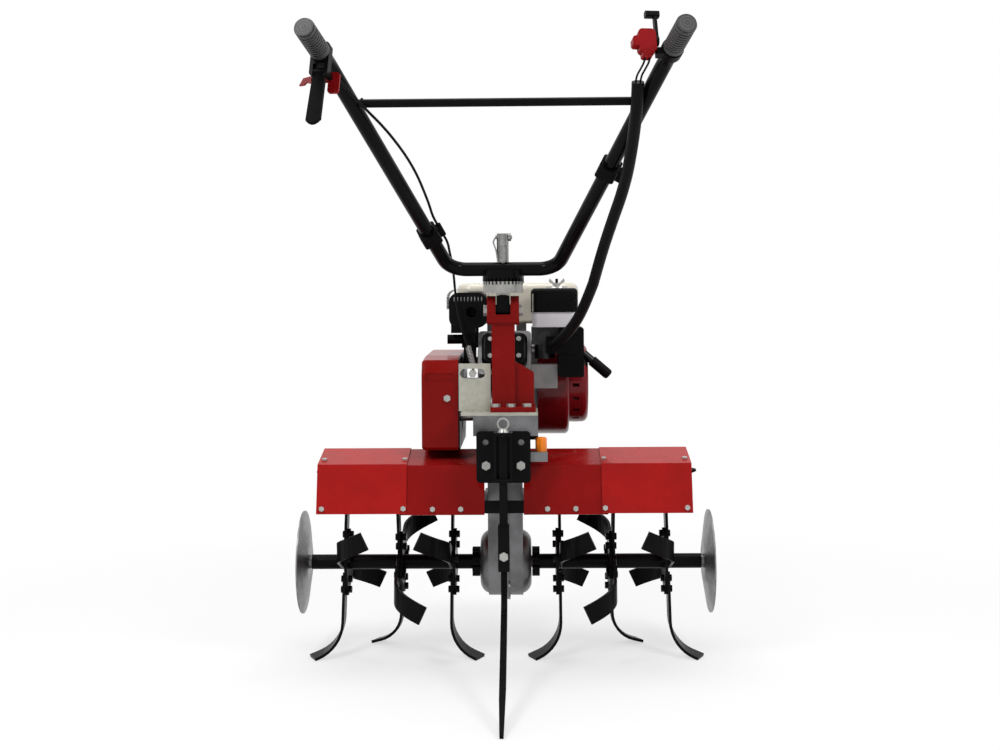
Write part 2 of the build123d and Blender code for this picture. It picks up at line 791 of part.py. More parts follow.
def draw_cover(inset):
    """Outline of the belt cover seen from the side."""
    rear_y = COVER_REAR_Y + inset
    low_z = COVER_LOW_Z + inset
    top_r = COVER_TOP_R - inset
    with BuildLine() as outline:
        Polyline(
            (CRANK_Y, CRANK_Z + top_r),
            (-60, CRANK_Z + top_r - 3),
            (rear_y + 18, COVER_SHOULDER_Z + 22 - inset),
            (rear_y, COVER_SHOULDER_Z - 6 - inset),
            (rear_y, low_z + 6),
            (rear_y + 6, low_z),
            (CRANK_Y - 30, low_z),
            (CRANK_Y, CRANK_Z - top_r),
        )
        ThreePointArc(
            (CRANK_Y, CRANK_Z - top_r), (CRANK_Y + top_r, CRANK_Z), (CRANK_Y, CRANK_Z + top_r)
        )
    make_face(outline.edges())


cover_screw = facing((COVER_SCREW_X, COVER_REAR_Y, COVER_SCREW_Z), (0, -1, 0))
with BuildPart() as belt_cover:
    with BuildSketch(side(COVER_X[0])):
        draw_cover(0)
    extrude(amount=length(COVER_X))
    fillet(belt_cover.faces().sort_by(Axis.X)[0].outer_wire().edges(), 7)
    with BuildSketch(side(COVER_X[0] + COVER_WALL)):
        draw_cover(COVER_WALL + COVER_RIM)
    extrude(amount=length(COVER_X), mode=Mode.SUBTRACT)
    recess_x = (COVER_X[0] + 9, COVER_X[1] - 10)
    block(recess_x, (COVER_REAR_Y - 1, COVER_REAR_Y + 3), COVER_RECESS_Z, mode=Mode.SUBTRACT)
    drill([cover_screw], COVER_SCREW_D / 2 + BOLT_GAP, COVER_WALL + COVER_RIM)
finish("belt_cover", belt_cover.part)

standoffs = ((CRANK_Y - 38, CRANK_Z + 48), (CRANK_Y + 38, CRANK_Z + 48), (CRANK_Y + 30, CRANK_Z - 55))
with BuildPart() as belt_back_plate:
    with BuildSketch(side(COVER_X[1])):
        draw_cover(0)
        with Locations(input_line, crank_line):
            Circle(27, mode=Mode.SUBTRACT)
    extrude(amount=BACK_T)
    with BuildSketch(side(COVER_X[1] + BACK_T)):
        with Locations(*standoffs):
            Circle(9)
    extrude(amount=BLOCK_X[0] - COVER_X[1] - BACK_T)
    with BuildSketch(side(COVER_X[1])):
        with Locations(IDLER_PIVOT):
            Circle(5)
    extrude(amount=arm_x - 8 - COVER_X[1])
finish("belt_back_plate", belt_back_plate.part)

# Engine: crankcase and finned barrel, head, valve cover
bore_plane = Plane(
    origin=(middle(BLOCK_X) - 5, CRANK_Y, CRANK_Z),
    x_dir=(1, 0, 0),
    z_dir=(0, -cos(radians(BORE_TILT)), sin(radians(BORE_TILT))),
)
tank_posts = ((-40, -18), (24, 46))
with BuildPart() as engine_block:
    with BuildSketch(side(BLOCK_X[0])):
        with Locations((middle(BLOCK_Y), middle(BLOCK_Z))):
            RectangleRounded(length(BLOCK_Y), length(BLOCK_Z), 22)
    extrude(amount=length(BLOCK_X))
    fillet(engine_block.faces().sort_by(Axis.X)[0].outer_wire().edges(), 6)
    with BuildSketch(bore_plane):
        Circle(44)
    extrude(amount=HEAD_AT)
    fins = [bore_plane.offset(HEAD_AT - FIN_STEP * (step + 1)) for step in range(FIN_COUNT)]
    with BuildSketch(*fins):
        RectangleRounded(FIN_SIZE[0], FIN_SIZE[1], 10)
    extrude(amount=FIN_T)
    block((HEAD_SIZE[0] / 2 + FACE_GAP, COWL_X), COWL_Y, COWL_Z)
    for post in tank_posts:
        block(post, (CRANK_Y - 40, CRANK_Y + 60), (BLOCK_Z[1] - 8, TANK_Z[0]))
    block((BLOCK_X[0] + 8, BLOCK_X[1] - 8), (BLOCK_Y[0] + 10, BLOCK_Y[1] - 10),
          (BLOCK_Z[0] + 10, BLOCK_Z[1] - 16), mode=Mode.SUBTRACT)
    with BuildSketch(side(BLOCK_X[0])):
        with Locations(crank_line):
            Circle(CRANK_D / 2 + RUNNING_GAP)
    extrude(amount=length(BLOCK_X), mode=Mode.SUBTRACT)
    with BuildSketch(level(BLOCK_Z[0])):
        with Locations(*[(x, y) for x in (-30, 40) for y in (BLOCK_Y[0] + 34, BLOCK_Y[1] - 34)]):
            Circle(4 + BOLT_GAP)
    extrude(amount=12, mode=Mode.SUBTRACT)
finish("engine_block", engine_block.part)

with BuildPart() as cylinder_head:
    with BuildSketch(bore_plane.offset(HEAD_AT)):
        RectangleRounded(HEAD_SIZE[0], HEAD_SIZE[1], 8)
    extrude(amount=HEAD_T)
    for step in range(3):
        with BuildSketch(bore_plane.offset(HEAD_AT + 7 + step * 10)):
            RectangleRounded(HEAD_SIZE[0] + 2, HEAD_SIZE[1] + 2, 8)
            RectangleRounded(HEAD_SIZE[0] - 34, HEAD_SIZE[1] - 34, 8, mode=Mode.SUBTRACT)
        extrude(amount=5, mode=Mode.SUBTRACT)
finish("cylinder_head", cylinder_head.part)

valve_bolt_planes = []
for bolt_x in (-1, 1):
    for bolt_y in (-1, 1):
        corner = (bolt_x * (VALVE_COVER_SIZE[0] / 2 - 18), bolt_y * (VALVE_COVER_SIZE[1] / 2 - 18),
                  HEAD_AT + HEAD_T + VALVE_COVER_T)
        valve_bolt_planes.append(facing(bore_plane.from_local_coords(corner), bore_plane.z_dir))
with BuildPart() as valve_cover:
    with BuildSketch(bore_plane.offset(HEAD_AT + HEAD_T)):
        RectangleRounded(VALVE_COVER_SIZE[0], VALVE_COVER_SIZE[1], 16)
    extrude(amount=VALVE_COVER_T)
    fillet(valve_cover.faces().sort_by(bore_plane.location.z_axis)[-1].outer_wire().edges(), 8)
    with BuildSketch(bore_plane.offset(HEAD_AT + HEAD_T)):
        room = [size - 2 * VALVE_COVER_WALL for size in VALVE_COVER_SIZE]
        RectangleRounded(*room, 13)
    extrude(amount=VALVE_COVER_T - VALVE_COVER_WALL, mode=Mode.SUBTRACT)
    drill(valve_bolt_planes, VALVE_BOLT_D / 2 + BOLT_GAP, VALVE_COVER_WALL)
finish("valve_cover", valve_cover.part)

plug_point = (-HEAD_SIZE[0] / 2, PLUG_AT[1], HEAD_AT + PLUG_AT[0])
plug_plane = facing(bore_plane.from_local_coords(plug_point), (-1, 0, 0))
with BuildPart() as spark_plug:
    with BuildSketch(plug_plane):
        Circle(7)
    extrude(amount=16)
    with BuildSketch(plug_plane.offset(4)):
        RegularPolygon(radius=11, side_count=6)
    extrude(amount=8)
    with BuildSketch(plug_plane.offset(16)):
        Circle(BOOT_D / 2)
    extrude(amount=BOOT_LONG)
finish("spark_plug", spark_plug.part)

with BuildPart() as crankshaft:
    with BuildSketch(side(BELT_X - PULLEY_W / 2 - 8)):
        with Locations(crank_line):
            Circle(CRANK_D / 2)
    extrude(amount=FAN_X - 14 - BELT_X + PULLEY_W / 2 + 8)
finish("crankshaft", crankshaft.part)

flywheel_x = (BLOCK_X[1] + 8, FAN_X - 22)
with BuildPart() as flywheel:
    with BuildSketch(side(flywheel_x[0])):
        with Locations(crank_line):
            Circle(FLYWHEEL_R)
            Circle(CRANK_D / 2 + RUNNING_GAP, mode=Mode.SUBTRACT)
    extrude(amount=12)
    with BuildSketch(side(flywheel_x[0] + 12)):
        with Locations(crank_line):
            with PolarLocations(FLYWHEEL_R - 18, 16, start_angle=10):
                Rectangle(30, 4)
    extrude(amount=length(flywheel_x) - 12)
finish("flywheel", flywheel.part)

with BuildPart() as fan_housing:
    with BuildSketch(side(BLOCK_X[1])):
        with Locations(crank_line):
            Circle(FAN_R)
    extrude(amount=FAN_X - BLOCK_X[1])
    fillet(fan_housing.faces().sort_by(Axis.X)[-1].outer_wire().edges(), 10)
    with BuildSketch(side(BLOCK_X[1])):
        with Locations(crank_line):
            Circle(FAN_R - HOUSING_WALL - 6)
    extrude(amount=FAN_X - BLOCK_X[1] - HOUSING_WALL, mode=Mode.SUBTRACT)
    with BuildSketch(side(BLOCK_X[1])):
        with Locations(crank_line):
            Circle(RECOIL_R - 16)
    extrude(amount=FAN_X - BLOCK_X[1], mode=Mode.SUBTRACT)
finish("fan_housing", fan_housing.part)

handle_tilt = radians(HANDLE_DROP)
handle_plane = facing(HANDLE_AT, (cos(handle_tilt), 0, -sin(handle_tilt)), across=(0, 1, 0))
with BuildPart() as recoil_cover:
    with BuildSketch(side(FAN_X)):
        with Locations(crank_line):
            Circle(RECOIL_R)
    extrude(amount=RECOIL_X - FAN_X)
    fillet(recoil_cover.faces().sort_by(Axis.X)[-1].outer_wire().edges(), 14)
    with BuildSketch(side(FAN_X)):
        with Locations(crank_line):
            Circle(RECOIL_R - 12)
    extrude(amount=RECOIL_X - FAN_X - HOUSING_WALL, mode=Mode.SUBTRACT)
    with BuildSketch(side(RECOIL_X)):
        with Locations(crank_line):
            with PolarLocations(50, 14):
                SlotOverall(34, 7)
    extrude(amount=-HOUSING_WALL - 1, mode=Mode.SUBTRACT)
    with BuildSketch(side(FAN_X + 8)):
        with Locations(crank_line):
            with PolarLocations(RECOIL_R, 18):
                Rectangle(30, 8)
    extrude(amount=14, mode=Mode.SUBTRACT)
    with BuildSketch(handle_plane):
        Circle(ROPE_GUIDE_D / 2)
    extrude(amount=-ROPE_GUIDE_LONG)
finish("recoil_cover", recoil_cover.part)

with BuildPart() as starter_handle:
    with BuildSketch(handle_plane):
        SlotOverall(*HANDLE_SECTION)
    extrude(amount=HANDLE_LONG)
    fillet(starter_handle.edges().group_by(handle_plane.location.z_axis)[-1], 6)
finish("starter_handle", starter_handle.part)


def tank_form(inset):
    """Rounded form of the fuel tank, drawn in by this much on all sides."""
    with BuildPart() as form:
        block((TANK_X[0] + inset, TANK_X[1] - inset), (TANK_Y[0] + inset, TANK_Y[1] - inset),
              (TANK_Z[0] + inset, TANK_Z[1] - inset))
        fillet(form.edges().filter_by(Axis.Z), 34 - inset)
        fillet(form.faces().sort_by(Axis.Z)[-1].outer_wire().edges(), 16 - inset)
        fillet(form.faces().sort_by(Axis.Z)[0].outer_wire().edges(), 8 - inset)
    return form.part


cap_at = (middle(TANK_X) - 10, middle(TANK_Y))
tank_skin = tank_form(0)
tank_room = tank_form(TANK_WALL)
with BuildPart() as fuel_tank:
    add(tank_skin)
    with BuildSketch(level(TANK_Z[1])):
        with Locations(cap_at):
            Circle(CAP_R - 6)
    extrude(amount=6)
    add(tank_room, mode=Mode.SUBTRACT)
    with BuildSketch(level(TANK_Z[1] + 6)):
        with Locations(cap_at):
            Circle(CAP_R - 9)
    extrude(amount=-6 - 2 * TANK_WALL, mode=Mode.SUBTRACT)
finish("fuel_tank", fuel_tank.part)

with BuildPart() as fuel_cap:
    with BuildSketch(level(TANK_Z[1] + FACE_GAP)):
        with Locations(cap_at):
            Circle(CAP_R)
    extrude(amount=17)
    with BuildSketch(level(TANK_Z[1] + FACE_GAP)):
        with Locations(cap_at):
            Circle(CAP_R - 6 + FACE_GAP)
    extrude(amount=6 + FACE_GAP, mode=Mode.SUBTRACT)
    with BuildSketch(level(TANK_Z[1] + 4)):
        with Locations(cap_at):
            with PolarLocations(CAP_R + 1, 16):
                Circle(2.4)
    extrude(amount=14, mode=Mode.SUBTRACT)
finish("fuel_cap", fuel_cap.part)

outlet_at = (middle(MUFFLER_X) + 8, middle(MUFFLER_Z) - 4)
with BuildPart() as muffler:
    block(MUFFLER_X, MUFFLER_Y, MUFFLER_Z)
    fillet(muffler.edges().filter_by(Axis.Y), 20)
    block(MUFFLER_SUMP_X, (MUFFLER_Y[0] + 2, MUFFLER_NECK_Y[1]), (MUFFLER_SUMP_Z, MUFFLER_Z[0] + 22))
    with BuildSketch(rear(MUFFLER_Y[0])):
        with Locations(outlet_at):
            Circle(OUTLET_R)
    extrude(amount=OUTLET_LONG)
    with BuildSketch(rear(MUFFLER_Y[1] - MUFFLER_WALL)):
        with Locations((middle(MUFFLER_X), middle(MUFFLER_Z))):
            room = [length(span) - 2 * MUFFLER_WALL for span in (MUFFLER_X, MUFFLER_Z)]
            RectangleRounded(*room, 20 - MUFFLER_WALL)
    extrude(amount=length(MUFFLER_Y) - 2 * MUFFLER_WALL, mode=Mode.SUBTRACT)
    with BuildSketch(rear(MUFFLER_Y[0] - OUTLET_LONG)):
        with Locations(outlet_at):
            Circle(OUTLET_R - 3.5)
    extrude(amount=-OUTLET_LONG - 2 * MUFFLER_WALL, mode=Mode.SUBTRACT)
    block((MUFFLER_NECK_X, -HEAD_SIZE[0] / 2), MUFFLER_NECK_Y, (MUFFLER_NECK_Z, MUFFLER_Z[0] + MUFFLER_WALL))
    block(HEAT_PLATE_X, HEAT_PLATE_Y, (HEAT_PLATE_Z, MUFFLER_SUMP_Z + MUFFLER_WALL))
finish("muffler", muffler.part)

shield_x = (MUFFLER_X[0] - SHIELD_STAND, MUFFLER_X[1] + 2)
shield_top = MUFFLER_Z[1] + SHIELD_STAND
with BuildPart() as muffler_shield:
    block(shield_x, (MUFFLER_Y[0] - 4, MUFFLER_Y[1] + 4), (shield_top - 40, shield_top + SHIELD_T))
    fillet(muffler_shield.edges().filter_by(Axis.Y).group_by(Axis.Z)[-1], 18)
    block((shield_x[0] + SHIELD_T, shield_x[1] - SHIELD_T), (MUFFLER_Y[0] - 5, MUFFLER_Y[1] + 5),
          (shield_top - 41, shield_top - 18), mode=Mode.SUBTRACT)
    with BuildSketch(rear(MUFFLER_Y[1] + 6)):
        with Locations((middle(shield_x), shield_top - 20)):
            RectangleRounded(length(shield_x) - 2 * SHIELD_T, 40, 17)
    extrude(amount=length(MUFFLER_Y) + 20, mode=Mode.SUBTRACT)
    for foot_y in (MUFFLER_Y[0] + 20, MUFFLER_Y[1] - 20):
        foot_x = (middle(MUFFLER_X) - 6, middle(MUFFLER_X) + 6)
        block(foot_x, (foot_y - 6, foot_y + 6), (MUFFLER_Z[1], shield_top + 1))
finish("muffler_shield", muffler_shield.part)

with BuildPart() as carburettor:
    block(CARB_X, (CARB_Y[0] + 8, CARB_Y[1]), (CARB_LOW_Z + 30, FILTER_Z[0]))
    with BuildSketch(level(CARB_LOW_Z)):
        with Locations((middle(CARB_X), middle(CARB_Y))):
            Circle(21)
    extrude(amount=40)
    with BuildSketch(rear(CARB_Y[0] + 8)):
        with Locations((middle(CARB_X), CARB_LOW_Z + 48)):
            Circle(13)
    extrude(amount=8)
finish("carburettor", carburettor.part)

with BuildPart() as control_box:
    block((CARB_X[1] + FACE_GAP, CONTROL_X), CONTROL_Y, CONTROL_Z)
    fillet(control_box.edges().filter_by(Axis.Y), 6)
    clamp_z = (LOOM_END[2] - 16, LOOM_END[2] + 20)
    block((LOOM_END[0] - 14, CONTROL_X - 12), (CONTROL_Y[0] - 4, CONTROL_Y[0]), clamp_z)
finish("control_box", control_box.part)

with BuildPart() as filter_base:
    block((FILTER_X[0] + 3, FILTER_X[1] - 3), (FILTER_Y[0] + 3, FILTER_Y[1] - 3), FILTER_Z[:2])
    fillet(filter_base.edges().filter_by(Axis.Z), 12)
finish("filter_base", filter_base.part)

stud_at = (middle(FILTER_X) + 6, middle(FILTER_Y))
with BuildPart() as filter_cover:
    block(FILTER_X, FILTER_Y, FILTER_Z[1:])
    fillet(filter_cover.edges().filter_by(Axis.Z), 14)
    fillet(filter_cover.faces().sort_by(Axis.Z)[-1].outer_wire().edges(), 9)
    block((FILTER_X[0] + 3, FILTER_X[1] - 3), (FILTER_Y[0] + 3, FILTER_Y[1] - 3),
          (FILTER_Z[1], FILTER_Z[2] - 12), mode=Mode.SUBTRACT)
    with BuildSketch(level(FILTER_Z[2])):
        with Locations(stud_at):
            Circle(3)
    extrude(amount=20)
finish("filter_cover", filter_cover.part)

with BuildPart() as filter_nut:
    with BuildSketch(level(FILTER_Z[2] + FACE_GAP)):
        with Locations(stud_at):
            Circle(24)
    extrude(amount=3, taper=20)
    with BuildSketch(level(FILTER_Z[2] + 2)):
        with Locations(stud_at):
            Circle(7)
    extrude(amount=9)
    with BuildSketch(rear(stud_at[1] + 2)):
        for lean in (-1, 1):
            with BuildLine():
                Polyline(
                    (stud_at[0] + lean * 5, FILTER_Z[2] + 5),
                    (stud_at[0] + lean * 17, FILTER_Z[2] + 14),
                    (stud_at[0] + lean * 15, FILTER_Z[2] + 21),
                    (stud_at[0] + lean * 5, FILTER_Z[2] + 11),
                    close=True,
                )
            make_face()
    extrude(amount=4)
    with BuildSketch(level(FILTER_Z[2])):
        with Locations(stud_at):
            Circle(3 + FACE_GAP)
    extrude(amount=30, mode=Mode.SUBTRACT)
finish("filter_nut", filter_nut.part)

with BuildPart() as engine_plate:
    block(BLOCK_X, (PLATE_REAR_Y, BLOCK_Y[1] + 14), (NOSE_Z[1], cradle_top_z))
    for rib_x in (-44, 46):
        block((rib_x, rib_x + 6), (NOSE_Y - 50, BLOCK_Y[1]), (NOSE_Z[1] - 22, NOSE_Z[1]))
    drill([plane.offset(PLATE_T) for plane in cradle_head_planes], 5 + BOLT_GAP, PLATE_T)
    with BuildSketch(level(NOSE_Z[1])):
        with Locations(*[(x, y) for x in (-30, 40) for y in (BLOCK_Y[0] + 34, BLOCK_Y[1] - 34)]):
            Circle(4 + BOLT_GAP)
    extrude(amount=PLATE_T, mode=Mode.SUBTRACT)
finish("engine_plate", engine_plate.part)

# Cable bracket: galvanised sheet under the column's foot, turned up on the left with a slot for the cable
slot_at = (middle(BRACKET_UP_X) - 4, BRACKET_UP_Z - 20)
with BuildPart() as cable_bracket:
    block((BRACKET_SIDE_X, DECK_X[1]), DECK_Y, (DECK_Z, column_base_z))
    block(BRACKET_UP_X, BRACKET_UP_Y, (column_base_z, BRACKET_UP_Z))
    with BuildSketch(rear(BRACKET_UP_Y[1])):
        with Locations(slot_at):
            SlotOverall(*CABLE_SLOT)
    extrude(amount=length(BRACKET_UP_Y), mode=Mode.SUBTRACT)
    drill([plane.offset(-FOOT_T) for plane in column_head_planes], 5 + BOLT_GAP, SHEET_T)
finish("cable_bracket", cable_bracket.part)

# Steering column with its foot and fork
column_x = (-COLUMN_W / 2, COLUMN_W / 2)
column_y = (COLUMN_Y - COLUMN_W / 2, COLUMN_Y + COLUMN_W / 2)
fork_half = FORK_GAP / 2 + EAR_T
with BuildPart() as steering_column:
    block(FOOT_X, (COLUMN_Y - 48, COLUMN_Y + 46), (column_base_z, column_top_of_foot))
    block(column_x, column_y, (column_top_of_foot, FORK_Z))
    with BuildSketch(rear(COLUMN_Y + 14)):
        with BuildLine():
            Polyline(
                (column_x[1], column_top_of_foot),
                (FOOT_X[1] - 3, column_top_of_foot),
                (FOOT_X[1] - 3, column_top_of_foot + 66),
                (column_x[1] + 8, column_top_of_foot + 84),
                (column_x[1], column_top_of_foot + 88),
                close=True,
            )
        make_face()
    extrude(amount=28)
    block((-fork_half, fork_half), (COLUMN_Y - EAR_R, COLUMN_Y + EAR_R), (FORK_Z - FORK_BASE_T, FORK_Z + 2))
    for sign in (-1, 1):
        with BuildSketch(side(sign * FORK_GAP / 2)):
            with Locations((COLUMN_Y, PIVOT_Z)):
                Circle(EAR_R)
            with Locations((COLUMN_Y, (FORK_Z + PIVOT_Z) / 2)):
                Rectangle(2 * EAR_R, PIVOT_Z - FORK_Z)
            with Locations((COLUMN_Y, PIVOT_Z)):
                Circle(PIVOT_D / 2 + RUNNING_GAP, mode=Mode.SUBTRACT)
        extrude(amount=sign * EAR_T)
    with BuildSketch(side(-FORK_GAP / 2)):
        with Locations((COLUMN_Y, PIVOT_Z)):
            Circle(FORK_ROOM_R)
    extrude(amount=FORK_GAP, mode=Mode.SUBTRACT)
    room_x, room_y = [(low + COLUMN_WALL, high - COLUMN_WALL) for low, high in (column_x, column_y)]
    room_z = (column_top_of_foot + 4, PIVOT_Z - FORK_ROOM_R - FORK_BASE_T)
    block(room_x, room_y, room_z, mode=Mode.SUBTRACT)
    drill(column_head_planes, 5 + BOLT_GAP, FOOT_T)
finish("steering_column", steering_column.part)

# Handle head: tongue in the fork, toothed disc on top and the clamping stud
disc_z = HEAD_Z + TOOTH_DISC_T
upper_z = disc_z + FACE_GAP


def tooth_slots(z, deep):
    """Radial slots round a disc's face that leave its teeth standing."""
    with BuildSketch(level(z)) as slots:
        with Locations((0, COLUMN_Y)):
            with PolarLocations(TOOTH_R - 5, TEETH):
                Rectangle(14, TOOTH_R * pi / TEETH)
    extrude(slots.sketch, amount=deep, mode=Mode.SUBTRACT)


with BuildPart() as handle_head:
    with BuildSketch(level(HEAD_Z)):
        with Locations((0, COLUMN_Y)):
            Circle(TOOTH_R)
    extrude(amount=TOOTH_DISC_T)
    tooth_slots(disc_z, -TOOTH_H)
    with BuildSketch(side(-TONGUE_T / 2)):
        with Locations((COLUMN_Y, PIVOT_Z)):
            Circle(TONGUE_R)
        with Locations((COLUMN_Y, (PIVOT_Z + HEAD_Z) / 2)):
            Rectangle(2 * TONGUE_R, HEAD_Z - PIVOT_Z)
        with Locations((COLUMN_Y, PIVOT_Z)):
            Circle(PIVOT_D / 2 + RUNNING_GAP, mode=Mode.SUBTRACT)
    extrude(amount=TONGUE_T)
    for sign in (-1, 1):
        with BuildSketch(side(sign * TONGUE_T / 2)):
            with Locations((COLUMN_Y, PIVOT_Z)):
                Circle(PIVOT_D)
                Circle(PIVOT_D / 2 + RUNNING_GAP, mode=Mode.SUBTRACT)
        extrude(amount=sign * (FORK_GAP / 2 - FACE_GAP - TONGUE_T / 2))
    with BuildSketch(level(disc_z)):
        with Locations((0, COLUMN_Y)):
            Circle(STUD_D / 2)
    extrude(amount=BAR_Z + BAR_D / 2 + CLAMP_H - 9 - disc_z)
finish("handle_head", handle_head.part)


# Handlebar: one bent tube with a cross bar and the upper toothed disc
def bar_point(share, sign):
    """Point on the straight arm, as a share of the way from the base corner to the elbow."""
    corner = Vector(sign * BAR_CORNER_X, COLUMN_Y, BAR_Z)
    elbow = Vector(sign * ELBOW[0], ELBOW[1], ELBOW[2])
    return corner + (elbow - corner) * share


arm_way = (bar_point(1, 1) - bar_point(0, 1)).normalized()
grip_way = (Vector(*BAR_END) - Vector(*ELBOW)).normalized()
with BuildPart() as handlebar:
    with BuildLine() as bar_path:
        FilletPolyline(
            (-BAR_END[0], BAR_END[1], BAR_END[2]),
            (-ELBOW[0], ELBOW[1], ELBOW[2]),
            (-BAR_CORNER_X, COLUMN_Y, BAR_Z),
            (BAR_CORNER_X, COLUMN_Y, BAR_Z),
            ELBOW,
            BAR_END,
            radius=(ELBOW_R, BAR_CORNER_R, BAR_CORNER_R, ELBOW_R),
        )
    with BuildSketch(bar_path.line ^ 0):
        Circle(BAR_D / 2)
    sweep()
    with BuildSketch(level(upper_z)):
        with Locations((0, COLUMN_Y)):
            Circle(TOOTH_R + 1)
    extrude(amount=TOOTH_DISC_T)
    tooth_slots(upper_z, TOOTH_H)
    cross_end = bar_point(CROSS_AT, 1)
    with BuildSketch(facing((-cross_end.X, cross_end.Y, cross_end.Z), (1, 0, 0))):
        Circle(CROSS_D / 2)
    extrude(amount=2 * cross_end.X)
    with BuildSketch(bar_path.line ^ 0):
        Circle(BAR_D / 2 - BAR_WALL)
    sweep(path=bar_path.line, mode=Mode.SUBTRACT)
    with BuildSketch(level(upper_z)):
        with Locations((0, COLUMN_Y)):
            Circle(STUD_D / 2 + FACE_GAP)
    extrude(amount=BAR_Z + BAR_D - upper_z, mode=Mode.SUBTRACT)
finish("handlebar", handlebar.part)

clamp_low_z = BAR_Z + BAR_D / 2 + FACE_GAP
with BuildPart() as clamp_handle:
    with BuildSketch(level(clamp_low_z)):
        with Locations((0, COLUMN_Y)):
            Circle(CLAMP_D / 2)
    extrude(amount=CLAMP_H)
    cross_z = clamp_low_z + CLAMP_H - 7
    with BuildSketch(facing((-15, COLUMN_Y, cross_z), (1, 0, 0))):
        Circle(4)
    extrude(amount=34)
    with BuildSketch(facing((11, COLUMN_Y, cross_z), (1, 0, 0))):
        RegularPolygon(radius=8, side_count=6)
    extrude(amount=6)
    with BuildSketch(rear(COLUMN_Y + 8)):
        with BuildLine():
            Polyline(
                (-10, clamp_low_z + 2),
                (-13, clamp_low_z + 22),
                (-19, clamp_low_z + 40),
                (-15, clamp_low_z + 49),
            )
        trace(line_width=3)
    extrude(amount=16)
    with BuildSketch(level(clamp_low_z)):
        with Locations((0, COLUMN_Y)):
            Circle(STUD_D / 2 + FACE_GAP)
    extrude(amount=CLAMP_H - 8, mode=Mode.SUBTRACT)
finish("clamp_handle", clamp_handle.part)


def grip_plane(sign, from_end):
    """Plane square across a grip, this far back from the end of the bar, facing the operator."""
    way = Vector(sign * grip_way.X, grip_way.Y, grip_way.Z)
    end = Vector(sign * BAR_END[0], BAR_END[1], BAR_END[2])
    return Plane(origin=end - way * from_end, x_dir=(grip_way.Y * -1, sign * grip_way.X, 0), z_dir=way)


ring_step = GRIP_LONG / (GRIP_RINGS + 2)
with BuildPart() as handle_grips:
    for sign in (-1, 1):
        with BuildSketch(grip_plane(sign, GRIP_LONG)):
            Circle(GRIP_D / 2 - 1.6)
        extrude(amount=GRIP_LONG + 5)
        ring_planes = [grip_plane(sign, GRIP_LONG - ring_step * (ring + 1)) for ring in range(GRIP_RINGS)]
        with BuildSketch(*ring_planes):
            Circle(GRIP_D / 2)
        extrude(amount=ring_step * 0.6)
        with BuildSketch(grip_plane(sign, 6), grip_plane(sign, GRIP_LONG)):
            Circle(GRIP_D / 2)
        extrude(amount=7)
        with BuildSketch(grip_plane(sign, GRIP_LONG)):
            Circle(BAR_D / 2 + RUNNING_GAP)
        extrude(amount=GRIP_LONG + RUNNING_GAP, mode=Mode.SUBTRACT)
finish("handle_grips", handle_grips.part)

# Hand controls: clutch lever and its lock in a bracket under the left grip, throttle beside the right one
clutch_plane = grip_plane(-1, GRIP_LONG + 3 + CONTROL_LONG)
throttle_plane = grip_plane(1, GRIP_LONG + 3 + CONTROL_LONG)
lever_pivot = clutch_plane.from_local_coords((0, -LEVER_DROP, CONTROL_LONG / 2))
lock_pivot = clutch_plane.from_local_coords((0, -LOCK_DROP, -LOCK_OUT))
cheek_x = LEVER_W / 2 + 3


def across_bar(point, x):
    """Plane square to the control's cross axis, through a point and this far to its right."""
    return Plane(origin=point + clutch_plane.x_dir * x, x_dir=clutch_plane.y_dir, z_dir=clutch_plane.x_dir)


with BuildPart() as control_brackets:
    with BuildSketch(clutch_plane):
        with Locations((0, -13)):
            RectangleRounded(2 * cheek_x, 62, 7)
        Circle(BAR_D / 2 + FACE_GAP, mode=Mode.SUBTRACT)
        with Locations((0, -LEVER_DROP)):
            Rectangle(2 * cheek_x - 12, 25, mode=Mode.SUBTRACT)
    extrude(amount=CONTROL_LONG)
    for x in (-cheek_x, cheek_x - 6):
        with BuildSketch(across_bar(lock_pivot, x)):
            Circle(5.5)
            with Locations((0, LOCK_OUT / 2)):
                Rectangle(11, LOCK_OUT)
        extrude(amount=6)
    with BuildSketch(across_bar(lever_pivot, -cheek_x), across_bar(lock_pivot, -cheek_x)):
        Circle(LEVER_PIN_D / 2)
    extrude(amount=2 * cheek_x)
    with BuildSketch(throttle_plane):
        Circle(BAR_D / 2 + 5)
        with Locations((-18, -5)):
            Rectangle(18, 12)
        Circle(BAR_D / 2 + FACE_GAP, mode=Mode.SUBTRACT)
    extrude(amount=CONTROL_LONG)
finish("control_brackets", control_brackets.part)

lever_way = Vector(0, -LEVER_REACH[0], -LEVER_REACH[1]).normalized()
lever_plane = Plane(origin=lever_pivot, x_dir=clutch_plane.x_dir, z_dir=lever_way)
with BuildPart() as clutch_lever:
    with BuildSketch(Plane(origin=lever_pivot, x_dir=lever_way, z_dir=clutch_plane.x_dir)):
        Circle(7.5)
        with Locations((12, 0)):
            Rectangle(24, LEVER_T)
        Circle(LEVER_PIN_D / 2 + RUNNING_GAP, mode=Mode.SUBTRACT)
    extrude(amount=cheek_x - 6 - FACE_GAP, both=True)
    with BuildSketch(lever_plane.offset(20)):
        RectangleRounded(LEVER_W - 2, LEVER_T, 2)
    with BuildSketch(lever_plane.offset(LEVER_LONG - LEVER_END)):
        RectangleRounded(LEVER_W, LEVER_T, 2)
    with BuildSketch(lever_plane.offset(LEVER_LONG - LEVER_END / 3)):
        RectangleRounded(LEVER_W - LEVER_END, LEVER_T, 2)
    with BuildSketch(lever_plane.offset(LEVER_LONG)):
        RectangleRounded(LEVER_W - 2 * LEVER_END, LEVER_T, 2)
    loft(ruled=True)
finish("clutch_lever", clutch_lever.part)

